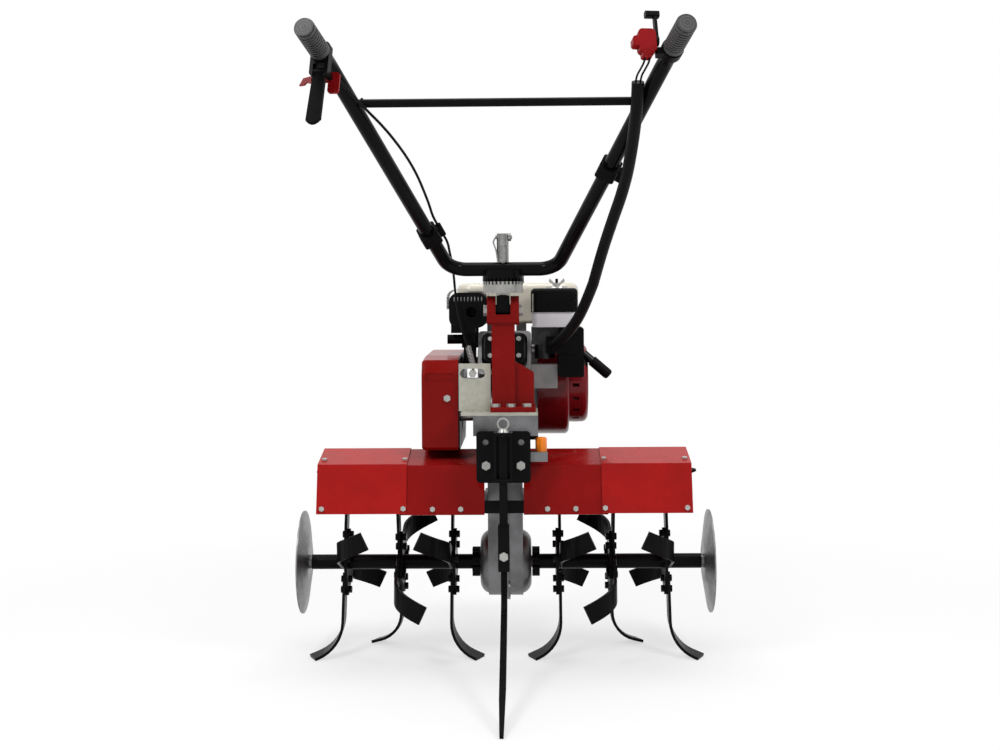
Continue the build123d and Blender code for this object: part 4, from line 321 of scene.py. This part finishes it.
finishes = {
    # Finishes named as the record's slots
    "red_paint": dict(
        color=RED, rough=(0.2, 0.3), coat=0.16, shade=0.1, fine=260, bump=0.05, dusty=0.03, specular=0.06,
    ),
    # Darker red of the engine's covers: painted shade
    "dark_red_paint": dict(
        color=SHADED_ENGINE_RED, rough=(0.2, 0.3), coat=0.25, fine=260, bump=0.06, specular=0.15,
    ),
    "black_paint": dict(
        color=BLACK, rough=(0.14, 0.24), coat=0.05, fine=240, bump=0.05, specular=0.03,
    ),
    "black_steel": dict(
        color=BLACK, rough=(0.26, 0.4), coat=0.03, fine=300, bump=0.12, dusty=0.04, specular=0.04,
    ),
    "bare_aluminium": dict(
        color=(0.22, 0.215, 0.215), rough=(0.34, 0.5), metallic=0.7, shade=0.3, fine=700, coarse=22,
        bump=0.35, bump_reach=0.0006, dusty=0.12,
    ),
    "zinc_steel": dict(
        color=ZINC, rough=(0.26, 0.4), metallic=0.5, shade=0.1, fine=500, coarse=60, bump=0.08, patches=150.0,
    ),
    "cast_iron": dict(
        color=(0.07, 0.07, 0.07), rough=(0.5, 0.65), metallic=0.6, fine=600, bump=0.4,
    ),
    "cream_tank": dict(
        color=(0.6, 0.565, 0.47), rough=(0.2, 0.3), coat=0.15, shade=0.05, bump=0.05,
    ),
    "white_plastic": dict(
        color=(0.74, 0.73, 0.77), rough=(0.4, 0.5), shade=0.05, fine=900, bump=0.1,
    ),
    "black_plastic": dict(
        color=BLACK, rough=(0.3, 0.42), fine=1400, bump=0.25, dusty=0.03, specular=0.04,
    ),
    "red_plastic": dict(
        color=(0.25, 0.005, 0.007), rough=(0.26, 0.36), fine=900, bump=0.08, specular=0.06,
    ),
    "orange_plastic": dict(
        color=(1.0, 0.24, 0.006), rough=(0.3, 0.4), fine=900, bump=0.08,
    ),
    "rubber": dict(
        color=(0.0055, 0.0055, 0.006), rough=(0.4, 0.55), fine=1100, bump=0.3, dusty=0.04, specular=0.06,
    ),
    "shield_steel": dict(
        color=(0.5, 0.5, 0.49), rough=(0.3, 0.42), metallic=0.7, fine=400, bump=0.1,
    ),
    # Finishes of single pieces
    "gear_alloy": dict(
        color=(0.17, 0.17, 0.175), rough=(0.3, 0.46), metallic=0.75, shade=0.4, fine=520, coarse=18,
        bump=0.5, bump_reach=0.0008, dusty=0.2,
    ),
    "carb_alloy": dict(
        color=(0.025, 0.025, 0.026), rough=(0.26, 0.46), metallic=0.7, shade=0.5, fine=420, coarse=40,
        bump=0.5, bump_reach=0.001,
    ),
    "disc_steel": dict(
        color=(0.2, 0.2, 0.2), rough=(0.3, 0.45), metallic=0.8, shade=0.2, fine=500, bump=0.12, patches=90.0,
    ),
    "grip_rubber": dict(
        color=(0.045, 0.045, 0.048), rough=(0.5, 0.64), fine=1300, bump=0.4, dusty=0.12, ringed=True,
    ),
    # Zinc joint; its tongue in the fork's slot is coloured near-black
    "joint_zinc": dict(
        color=(0.37, 0.367, 0.35), rough=(0.26, 0.4), metallic=0.5, shade=0.12, fine=500, coarse=60,
        bump=0.1, specular=0.06, other=DARK_TONGUE_IN_SLOT,
    ),
    # Darker red of the recoil cover: painted shade; its rope guide is black
    "recoil_paint": dict(
        color=SHADED_ENGINE_RED, rough=(0.2, 0.3), coat=0.2, fine=260, bump=0.06, specular=0.1, other=BLACK_ROPE_GUIDE,
    ),
    "sheet_zinc": dict(
        color=(0.43, 0.422, 0.36), rough=(0.34, 0.46), metallic=0.35, shade=0.06, fine=500, bump=0.06,
        patches=110.0,
    ),
    # The guards' red paint made darker for the column and belt cover: painted shade
    "shaded_red_paint": dict(
        color=(0.22, 0.004, 0.003), rough=(0.22, 0.28), coat=0.08, shade=0.08, fine=260, coarse=9, bump=0.06,
        dusty=0.03, specular=0.05,
    ),
    # The guards' red paint made darker for the inner guard panels: painted shade
    "inner_shaded_red_paint": dict(
        color=(0.25, 0.0035, 0.003), rough=(0.2, 0.3), coat=0.1, shade=0.1, fine=260, bump=0.05, dusty=0.03,
        specular=0.05,
    ),
    "bar_black": dict(
        color=BLACK, rough=(0.34, 0.48), fine=300, bump=0.12, specular=0.03,
    ),
    "clamp_zinc": dict(
        color=(0.26, 0.26, 0.25), rough=(0.24, 0.38), metallic=0.7, shade=0.2, fine=500, coarse=60, bump=0.1,
        patches=200.0,
    ),
}
looks = {name: finish_material(name, **finish) for name, finish in finishes.items()}

# Pieces whose finish differs from their slot's; the column, belt cover and inner guards take darker copies of
# the red paint, which are painted shade
own_looks = {
    "steering_column": "shaded_red_paint",
    "belt_cover": "shaded_red_paint",
    "guard_inner": "inner_shaded_red_paint",
    "clamp_handle": "clamp_zinc",
    "gearbox_case_left": "gear_alloy",
    "gearbox_case_right": "gear_alloy",
    "carburettor": "carb_alloy",
    "side_discs": "disc_steel",
    "handle_grips": "grip_rubber",
    "handle_head": "joint_zinc",
    "recoil_cover": "recoil_paint",
    "cable_bracket": "sheet_zinc",
    "drag_bar": "bar_black",
    "clutch_lever": "bar_black",
}
for subpart in frame["record"]["subparts"]:
    piece = nodes[subpart["node"]]
    piece.data.materials.clear()
    piece.data.materials.append(looks[own_looks.get(subpart["node"], subpart["material_slot"])])

# Cables along the bars
CLUTCH_CABLE_R = 0.0025
LOOM_R = 0.011
THROTTLE_WIRE_R = 0.00175
CABLE_STEPS = 12
LOOM_STEPS = 20
CABLE_ROUNDNESS = 6
CLUTCH_UPPER = (
    (-283.5, -653.5, 1140.5), (-281.0, -640.3, 1136.3), (-264, -612, 1116), (-235, -566, 1084),
    (-196, -502, 1046), (-158, -420, 991), (-138, -322, 932), (-132.8, -281.5, 906.6),
    (-123.9, -258.5, 889.5), (-115.6, -237.1, 873.5), (-107.4, -212.8, 857.8), (-106, -176, 839),
    (-102, -142, 814), (-100, -125, 785),
)
CLUTCH_LOWER = (
    (-100, -125, 785), (-98.5, -112, 757), (-94, -109, 722), (-86, -109, 686), (-72, -109, 645),
    (-64, -112, 614), (-62, -124, 598), (-62, -152, 596),
)
LOOM_UPPER = (
    (241, -584, 1118), (241, -575, 1098), (240, -556, 1068), (237, -500, 1018), (229, -430, 955),
    (205, -345, 879), (190, -290, 826), (178, -235, 775),
)
LOOM_LOWER = (
    (178, -235, 775), (165, -193, 737), (148, -150, 699), (124, -116, 667), (107, -92, 651), (101, -72, 646),
    (101, -54, 646),
)
THROTTLE_WIRE = (
    (250.3, -667.3, 1146), (250, -668.5, 1140), (245, -634, 1131), (241, -602, 1125), (241, -583, 1116),
)
THROTTLE_WIRES = (("throttle_wire_left", -4), ("throttle_wire_right", 4))


def rubber_piece(name, mesh):
    """Finished rubber piece at the origin."""
    slot = "rubber"
    piece = bpy.data.objects.new(name, mesh)
    scene.collection.objects.link(piece)
    mesh.materials.clear()
    mesh.materials.append(looks[slot])
    mesh.shade_smooth()
    return piece


def plain_mesh(drawn):
    """Mesh of an object as its curve or modifiers leave it. The object itself is deleted."""
    scene.collection.objects.link(drawn)
    bpy.context.view_layer.update()
    mesh = bpy.data.meshes.new_from_object(drawn.evaluated_get(bpy.context.evaluated_depsgraph_get()))
    drawn.modifiers.clear()
    bpy.data.objects.remove(drawn)
    return mesh


def cable(name, points, radius, steps=CABLE_STEPS):
    """Round cable on a smooth curve along its route, as a mesh."""
    curve = bpy.data.curves.new(name, "CURVE")
    curve.dimensions = "3D"
    spline = curve.splines.new("NURBS")
    spline.points.add(len(points) - 1)
    for control, point in zip(spline.points, points):
        control.co = (*at(*point), 1.0)
    spline.order_u = 3
    spline.use_endpoint_u = True
    spline.resolution_u = steps
    curve.bevel_depth = radius
    curve.bevel_resolution = CABLE_ROUNDNESS
    curve.use_fill_caps = True
    return rubber_piece(name, plain_mesh(bpy.data.objects.new(name, curve)))


clutch_upper = cable("clutch_cable_upper", CLUTCH_UPPER, CLUTCH_CABLE_R)
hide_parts("clutch_cable")
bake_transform(clutch_upper)
clutch_lower = cable("clutch_cable_lower", CLUTCH_LOWER, CLUTCH_CABLE_R)
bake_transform(clutch_lower)
loom_upper = cable("throttle_loom_upper", LOOM_UPPER, LOOM_R, LOOM_STEPS)
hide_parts("throttle_loom")
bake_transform(loom_upper)
loom_lower = cable("throttle_loom_lower", LOOM_LOWER, LOOM_R, LOOM_STEPS)
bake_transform(loom_lower)
for wire_name, offset in THROTTLE_WIRES:
    strand = [(x + offset, y, z) for x, y, z in THROTTLE_WIRE]
    wire = cable(wire_name, strand, THROTTLE_WIRE_R)
    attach(wire, "handle")

# Starter rope between the recoil cover's guide and the handle
ROPE_MOUTH = (188.5, 92, 608)
ROPE_DROP = 41
ROPE_INSIDE = 0.020
ROPE_OUTSIDE = 0.012
ROPE_R = 0.002
ROPE_SIDES = 12
ROPE_RINGS = 48


def starter_rope():
    """Short straight rope that comes out of its guide towards the handle."""
    drop = math.radians(ROPE_DROP)
    pull = Vector((math.cos(drop), 0, -math.sin(drop)))
    inner = at(*ROPE_MOUTH) - pull * ROPE_INSIDE
    outer = at(*ROPE_MOUTH) + pull * ROPE_OUTSIDE
    across = Vector((0, 1, 0))
    upward = pull.cross(across)
    verts = []
    for ring in range(ROPE_RINGS + 1):
        middle = inner.lerp(outer, ring / ROPE_RINGS)
        for step in range(ROPE_SIDES):
            turn = 2 * math.pi * step / ROPE_SIDES
            verts.append(middle + (across * math.cos(turn) + upward * math.sin(turn)) * ROPE_R)
    faces = []
    for ring in range(ROPE_RINGS):
        low = ring * ROPE_SIDES
        high = low + ROPE_SIDES
        for step in range(ROPE_SIDES):
            after = (step + 1) % ROPE_SIDES
            faces.append((low + step, low + after, high + after, high + step))
    faces.append(tuple(reversed(range(ROPE_SIDES))))
    faces.append(tuple(ROPE_RINGS * ROPE_SIDES + step for step in range(ROPE_SIDES)))
    mesh = bpy.data.meshes.new("starter_rope")
    mesh.from_pydata(verts, [], faces)
    rope = rubber_piece("starter_rope", mesh)
    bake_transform(rope)


starter_rope()

# Details that repeat: a perforated shield, weld beads, the coils of a spring and a row of louvres
MERGE_REACH = 0.00002
QUARTER_TURN = math.pi / 2
DROP_SIZES = (0.8, 1.2)


def geometry_group(name, inputs):
    """Geometry node group with a geometry on each side and named inputs."""
    group = bpy.data.node_groups.new(name, "GeometryNodeTree")
    group.is_modifier = True
    group.interface.new_socket("Geometry", in_out="INPUT", socket_type="NodeSocketGeometry")
    for label, kind, value in (*inputs, ("Material", "NodeSocketMaterial", None)):
        socket = group.interface.new_socket(label, in_out="INPUT", socket_type=kind)
        if value is not None:
            socket.default_value = value
    group.interface.new_socket("Geometry", in_out="OUTPUT", socket_type="NodeSocketGeometry")
    return group, group.nodes.new("NodeGroupInput"), group.nodes.new("NodeGroupOutput")


def close_group(group, start, end, geometry, smooth):
    """Ends a group: shading and material."""
    shade = add_node(group, "GeometryNodeSetShadeSmooth")
    shade.inputs["Shade Smooth"].default_value = smooth
    paint = add_node(group, "GeometryNodeSetMaterial")
    group.links.new(geometry, shade.inputs["Geometry"])
    group.links.new(shade.outputs["Geometry"], paint.inputs["Geometry"])
    group.links.new(start.outputs["Material"], paint.inputs["Material"])
    group.links.new(paint.outputs["Geometry"], end.inputs["Geometry"])


def merged(group, geometry):
    """Joins points that lie on each other, so that neighbouring faces share their edges."""
    node = add_node(group, "GeometryNodeMergeByDistance")
    node.inputs["Distance"].default_value = MERGE_REACH
    group.links.new(geometry, node.inputs["Geometry"])
    return node.outputs["Geometry"]


def copies(group, points, shape, scale=None):
    """Copies of a shape on points, as real meshes."""
    node = add_node(group, "GeometryNodeInstanceOnPoints")
    group.links.new(points, node.inputs["Points"])
    group.links.new(shape, node.inputs["Instance"])
    if scale is not None:
        group.links.new(scale, node.inputs["Scale"])
    whole = add_node(group, "GeometryNodeRealizeInstances")
    group.links.new(node.outputs["Instances"], whole.inputs["Geometry"])
    return whole.outputs["Geometry"]


def bent_down(group, start):
    """Places of a flat sheet's points after its two sides are bent down."""
    now = add_node(group, "GeometryNodeInputPosition")
    parts = add_node(group, "ShaderNodeSeparateXYZ")
    group.links.new(now.outputs[0], parts.inputs[0])
    radius = start.outputs["Bend Radius"]
    half_top = start.outputs["Half Top"]
    reach = maths(group, "ABSOLUTE", parts.outputs["X"])
    over = maths(group, "SUBTRACT", reach, half_top)
    turn = maths(group, "MAXIMUM", maths(group, "DIVIDE", over, radius), 0.0)
    turn = maths(group, "MINIMUM", turn, QUARTER_TURN)
    flat = maths(group, "MINIMUM", reach, half_top)
    out = maths(group, "ADD", flat, maths(group, "MULTIPLY", radius, maths(group, "SINE", turn)))
    past_bend = maths(group, "SUBTRACT", over, maths(group, "MULTIPLY", radius, QUARTER_TURN))
    straight = maths(group, "MAXIMUM", past_bend, 0.0)
    fall = maths(group, "SUBTRACT", 1.0, maths(group, "COSINE", turn))
    drop = maths(group, "ADD", maths(group, "MULTIPLY", radius, fall), straight)
    side = maths(group, "SIGN", parts.outputs["X"])
    bent = add_node(group, "ShaderNodeCombineXYZ")
    group.links.new(maths(group, "MULTIPLY", side, out), bent.inputs["X"])
    group.links.new(parts.outputs["Y"], bent.inputs["Y"])
    group.links.new(maths(group, "MULTIPLY", drop, -1.0), bent.inputs["Z"])
    return bent.outputs[0]


def perforated_group():
    """Sheet of tiles laid in rows, bent down on both sides and given a thickness."""
    group, start, end = geometry_group("perforated_sheet", (
        ("Across", "NodeSocketInt", 24), ("Along", "NodeSocketInt", 16),
        ("Pitch Across", "NodeSocketFloat", 0.006), ("Pitch Along", "NodeSocketFloat", 0.006),
        ("Half Top", "NodeSocketFloat", 0.025), ("Bend Radius", "NodeSocketFloat", 0.016),
        ("Thickness", "NodeSocketFloat", 0.0015),
    ))
    rows = add_node(group, "GeometryNodeMeshGrid")
    for side, count in (("X", "Across"), ("Y", "Along")):
        group.links.new(start.outputs[count], rows.inputs["Vertices " + side])
        gaps = maths(group, "SUBTRACT", start.outputs[count], 1)
        span = maths(group, "MULTIPLY", gaps, start.outputs["Pitch " + count])
        group.links.new(span, rows.inputs["Size " + side])
    tiles = merged(group, copies(group, rows.outputs["Mesh"], start.outputs["Geometry"]))
    moved = add_node(group, "GeometryNodeSetPosition")
    group.links.new(tiles, moved.inputs["Geometry"])
    group.links.new(bent_down(group, start), moved.inputs["Position"])

    skin = add_node(group, "GeometryNodeExtrudeMesh", mode="FACES")
    skin.inputs["Individual"].default_value = False
    group.links.new(moved.outputs["Geometry"], skin.inputs["Mesh"])
    group.links.new(start.outputs["Thickness"], skin.inputs["Offset Scale"])
    under = add_node(group, "GeometryNodeFlipFaces")
    group.links.new(moved.outputs["Geometry"], under.inputs["Mesh"])
    both = add_node(group, "GeometryNodeJoinGeometry")
    group.links.new(skin.outputs["Mesh"], both.inputs[0])
    group.links.new(under.outputs["Mesh"], both.inputs[0])
    close_group(group, start, end, merged(group, both.outputs["Geometry"]), False)
    return group


def bead_group():
    """Ring of overlapping weld drops of uneven size."""
    group, start, end = geometry_group("weld_bead", (
        ("Radius", "NodeSocketFloat", 0.009), ("Drop", "NodeSocketFloat", 0.002),
        ("Count", "NodeSocketInt", 26), ("Seed", "NodeSocketInt", 3),
    ))
    ring = add_node(group, "GeometryNodeCurvePrimitiveCircle")
    group.links.new(start.outputs["Radius"], ring.inputs["Radius"])
    points = add_node(group, "GeometryNodeCurveToPoints", mode="COUNT")
    group.links.new(ring.outputs["Curve"], points.inputs["Curve"])
    group.links.new(start.outputs["Count"], points.inputs["Count"])
    drop = add_node(group, "GeometryNodeMeshIcoSphere")
    drop.inputs["Subdivisions"].default_value = 3
    group.links.new(start.outputs["Drop"], drop.inputs["Radius"])
    size = add_node(group, "FunctionNodeRandomValue", data_type="FLOAT")
    size.inputs[2].default_value, size.inputs[3].default_value = DROP_SIZES
    group.links.new(start.outputs["Seed"], size.inputs["Seed"])
    drops = copies(group, points.outputs["Points"], drop.outputs["Mesh"], size.outputs[1])
    close_group(group, start, end, drops, True)
    return group


def spring_group():
    """Coil of round wire about the Z axis."""
    group, start, end = geometry_group("wire_coil", (
        ("Turns", "NodeSocketFloat", 12.0), ("Radius", "NodeSocketFloat", 0.005),
        ("Height", "NodeSocketFloat", 0.04), ("Wire", "NodeSocketFloat", 0.0008),
    ))
    coil = add_node(group, "GeometryNodeCurveSpiral")
    coil.inputs["Resolution"].default_value = 24
    group.links.new(start.outputs["Turns"], coil.inputs["Rotations"])
    for label in ("Start Radius", "End Radius"):
        group.links.new(start.outputs["Radius"], coil.inputs[label])
    group.links.new(start.outputs["Height"], coil.inputs["Height"])
    section = add_node(group, "GeometryNodeCurvePrimitiveCircle")
    section.inputs["Resolution"].default_value = 8
    group.links.new(start.outputs["Wire"], section.inputs["Radius"])
    wire_mesh = add_node(group, "GeometryNodeCurveToMesh")
    wire_mesh.inputs["Fill Caps"].default_value = True
    group.links.new(coil.outputs["Curve"], wire_mesh.inputs["Curve"])
    group.links.new(section.outputs["Curve"], wire_mesh.inputs["Profile Curve"])
    close_group(group, start, end, wire_mesh.outputs["Mesh"], True)
    return group


def louvre_group():
    """Row of pressed lips along the X axis, each one an upright pill."""
    group, start, end = geometry_group("louvre_row", (
        ("Count", "NodeSocketInt", 10), ("Pitch", "NodeSocketFloat", 0.007),
        ("Lip", "NodeSocketFloat", 0.0012), ("Length", "NodeSocketFloat", 0.005),
    ))
    row = add_node(group, "GeometryNodeMeshLine")
    group.links.new(start.outputs["Count"], row.inputs["Count"])
    step = add_node(group, "ShaderNodeCombineXYZ")
    group.links.new(start.outputs["Pitch"], step.inputs["X"])
    group.links.new(step.outputs[0], row.inputs["Offset"])
    first = add_node(group, "ShaderNodeCombineXYZ")
    half = maths(group, "MULTIPLY", maths(group, "SUBTRACT", start.outputs["Count"], 1), -0.5)
    group.links.new(maths(group, "MULTIPLY", half, start.outputs["Pitch"]), first.inputs["X"])
    group.links.new(first.outputs[0], row.inputs["Start Location"])
    pill = add_node(group, "GeometryNodeMeshUVSphere")
    pill.inputs["Radius"].default_value = 1.0
    size = add_node(group, "ShaderNodeCombineXYZ")
    for side, source in (("X", "Lip"), ("Y", "Lip"), ("Z", "Length")):
        group.links.new(start.outputs[source], size.inputs[side])
    lips = copies(group, row.outputs["Mesh"], pill.outputs["Mesh"], size.outputs[0])
    close_group(group, start, end, lips, True)
    return group


def grown(name, group, values, place, seed_mesh=None):
    """Plain mesh made by a geometry node group and set in its place."""
    maker = bpy.data.objects.new(name + "_maker", seed_mesh or bpy.data.meshes.new(name + "_seed"))
    modifier = maker.modifiers.new("grow", "NODES")
    modifier.node_group = group
    for item in group.interface.items_tree:
        if item.item_type == "SOCKET" and item.in_out == "INPUT" and item.name in values:
            modifier[item.identifier] = values[item.name]
    mesh = plain_mesh(maker)
    mesh.transform(place)
    mesh.name = name
    piece = bpy.data.objects.new(name, mesh)
    scene.collection.objects.link(piece)
    return piece


# Perforated heat shield over the muffler
SHIELD_THICK = 0.0015
SHIELD_BEND = 0.0165
SHIELD_SKIRT = 0.0235
SHIELD_ACROSS = 25
SHIELD_ALONG = 16
SHIELD_HOLE_R = 0.0022
TILE_STEPS = 16


def holed_tile(wide, deep):
    """Flat tile with a round hole."""
    inner = []
    outer = []
    for step in range(TILE_STEPS):
        turn = 2 * math.pi * step / TILE_STEPS
        x, y = math.cos(turn), math.sin(turn)
        far = max(abs(x), abs(y))
        inner.append((x * SHIELD_HOLE_R, y * SHIELD_HOLE_R, 0))
        outer.append((x / far * wide / 2, y / far * deep / 2, 0))
    faces = []
    for step in range(TILE_STEPS):
        after = (step + 1) % TILE_STEPS
        faces.append((step, TILE_STEPS + step, TILE_STEPS + after, after))
    tile = bpy.data.meshes.new("holed_tile")
    tile.from_pydata(inner + outer, [], faces)
    return tile


def shield():
    """Perforated sheet in the place of the plain shield."""
    low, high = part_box("muffler_shield")
    half_top = (high.x - low.x) / 2 - SHIELD_BEND - SHIELD_THICK
    wide = 2 * (half_top + SHIELD_BEND * math.pi / 2 + SHIELD_SKIRT) / SHIELD_ACROSS
    deep = (high.y - low.y) / SHIELD_ALONG
    middle = (low + high) / 2
    values = {
        "Across": SHIELD_ACROSS, "Along": SHIELD_ALONG, "Pitch Across": wide, "Pitch Along": deep,
        "Half Top": half_top, "Bend Radius": SHIELD_BEND, "Thickness": SHIELD_THICK,
        "Material": looks["shield_steel"],
    }
    place = Matrix.Translation((middle.x, middle.y, high.z - SHIELD_THICK))
    tile = holed_tile(wide, deep)
    sheet = grown("perforated_shield", perforated_group(), values, place, tile)
    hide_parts("muffler_shield")
    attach(sheet, "frame")


# Weld beads where the cross bar meets the arms
CROSS_WELD_AT = (240.0, -543.5, 1090.5)
CROSS_WELD_TILT = 17
CROSS_WELDS = (("cross_weld_left", -1), ("cross_weld_right", 1))


def welds():
    """One bead at each end of the cross bar."""
    group = bead_group()
    x, y, z = CROSS_WELD_AT
    values = {"Radius": 0.0083, "Drop": 0.0022, "Count": 26, "Seed": 3, "Material": looks["black_paint"]}
    for name, side in CROSS_WELDS:
        tilt = Matrix.Rotation(math.radians(90 - side * CROSS_WELD_TILT), 4, "Y")
        place = Matrix.Translation(at(side * x, y, z)) @ tilt
        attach(grown(name, group, values, place), "handle")


# Return spring round the lower end of the clutch cable
SPRING_TOP = (-73, -109, 648)
SPRING_FOOT = (-63.5, -113, 611)


def cable_spring():
    """Coil that follows the cable from its foot up."""
    foot = at(*SPRING_FOOT)
    way = at(*SPRING_TOP) - foot
    place = Matrix.Translation(foot) @ way.to_track_quat("Z", "Y").to_matrix().to_4x4()
    values = {
        "Turns": 13.0, "Radius": 0.0052, "Height": way.length, "Wire": 0.0009,
        "Material": looks["shield_steel"],
    }
    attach(grown("cable_spring", spring_group(), values, place), "frame")


# Louvres pressed in the muffler's rear face, below the shield
LOUVRES_AT = (-76, -34, 744)


def louvres():
    """Row of louvres, half sunk in the face."""
    values = {"Count": 9, "Pitch": 0.0072, "Lip": 0.0014, "Length": 0.0052, "Material": looks["disc_steel"]}
    place = Matrix.Translation(at(*LOUVRES_AT))
    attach(grown("muffler_louvres", louvre_group(), values, place), "frame")


shield()
welds()
cable_spring()
louvres()

# Floor, world, lamps and camera
WHITE = (1.0, 1.0, 1.0, 1.0)
FLOOR_SIZE = 40
FLOOR_COLOUR = (0.85, 0.85, 0.85, 1.0)
FLOOR_FADE_REACH = (0.5, 1.9)
FLOOR_FADE = (0.62, 1.0)
ROOM_SPAN = (-0.15, 0.35)
ROOM_STRENGTH = (0.06, 1.05)
LAMPS_AIM = Vector((0, 0.1, 0.5))
LAMPS = (
    ("key", (-1.5, -1.8, 3.0), 1.0, 54),
    ("fill", (1.9, -1.7, 2.6), 1.0, 40),
    ("top", (0.0, 0.3, 3.2), 1.8, 34),
)
LENS_WIDTHS = 1.443
CAMERA_AT = (50, -3060, 763)
CAMERA_YAW = 1.107
CAMERA_ROLL = -0.4
CAMERA_SHIFT = -0.085
SENSOR_WIDTH = 36.0


def shown_rays(tree):
    """Mask of the rays that show the white floor and backdrop: camera, glossy and transmission rays."""
    path = add_node(tree, "ShaderNodeLightPath")
    mask = path.outputs["Is Camera Ray"]
    for label in ("Is Glossy Ray", "Is Transmission Ray"):
        mask = maths(tree, "MAXIMUM", mask, path.outputs[label])
    return mask


def either_shader(tree, factor, first, second, kind):
    """Ends a tree with one of two shaders, by a mask."""
    choose = add_node(tree, "ShaderNodeMixShader")
    tree.links.new(factor, choose.inputs["Fac"])
    tree.links.new(first.outputs[0], choose.inputs[1])
    tree.links.new(second.outputs[0], choose.inputs[2])
    tree.links.new(choose.outputs[0], add_node(tree, kind).inputs["Surface"])


def studio_floor():
    """Pale floor that keeps the shadow near the object and fades to white further out."""
    bpy.ops.mesh.primitive_plane_add(size=FLOOR_SIZE)
    floor = bpy.context.active_object
    floor.name = "studio_floor"
    white = bpy.data.materials.new("studio_white")
    white.use_nodes = True
    tree = white.node_tree
    tree.nodes.clear()
    diffuse = add_node(tree, "ShaderNodeBsdfDiffuse")
    diffuse.inputs["Color"].default_value = FLOOR_COLOUR
    glow = add_node(tree, "ShaderNodeEmission")
    reach = vector_maths(tree, "LENGTH", piece_place(tree))
    fade = ranged(tree, reach, FLOOR_FADE_REACH, FLOOR_FADE)
    seen = maths(tree, "MULTIPLY", shown_rays(tree), fade)
    either_shader(tree, seen, diffuse, glow, "ShaderNodeOutputMaterial")
    floor.data.materials.append(white)


def studio_world():
    """White backdrop, and a room that lights the object more from the front than from the camera's side."""
    world = bpy.data.worlds.new("studio_world")
    scene.world = world
    world.use_nodes = True
    tree = world.node_tree
    tree.nodes.clear()
    way = add_node(tree, "ShaderNodeTexCoord")
    split = add_node(tree, "ShaderNodeSeparateXYZ")
    tree.links.new(way.outputs["Generated"], split.inputs[0])
    room = add_node(tree, "ShaderNodeBackground")
    backdrop = add_node(tree, "ShaderNodeBackground")
    for light in (room, backdrop):
        light.inputs["Color"].default_value = WHITE
        light.inputs["Strength"].default_value = 1.0
    tree.links.new(ranged(tree, split.outputs["Y"], ROOM_SPAN, ROOM_STRENGTH), room.inputs["Strength"])
    either_shader(tree, shown_rays(tree), room, backdrop, "ShaderNodeOutputWorld")


def studio_lamps():
    """Soft round lamps above the object, all aimed at its middle."""
    for name, place, size, power in LAMPS:
        lamp = bpy.data.lights.new(name, "AREA")
        lamp.shape = "DISK"
        lamp.size = size
        lamp.energy = power
        holder = bpy.data.objects.new(name, lamp)
        holder.location = place
        aim = LAMPS_AIM - Vector(place)
        holder.rotation_euler = aim.to_track_quat("-Z", "Y").to_euler()
        scene.collection.objects.link(holder)


def photo_camera():
    """Camera behind the machine, at the height of the photograph's horizon."""
    data = bpy.data.cameras.new("photo_camera")
    data.sensor_width = SENSOR_WIDTH
    data.lens = data.sensor_width * LENS_WIDTHS
    data.shift_y = CAMERA_SHIFT
    camera = bpy.data.objects.new("photo_camera", data)
    camera.location = at(*CAMERA_AT)
    upright = Euler((math.radians(90), 0, math.radians(CAMERA_YAW))).to_matrix()
    roll = Matrix.Rotation(math.radians(CAMERA_ROLL), 3, "Z")
    camera.rotation_euler = (upright @ roll).to_euler()
    scene.collection.objects.link(camera)
    scene.camera = camera


studio_floor()
studio_world()
studio_lamps()
photo_camera()
scene.view_settings.view_transform = "Standard"
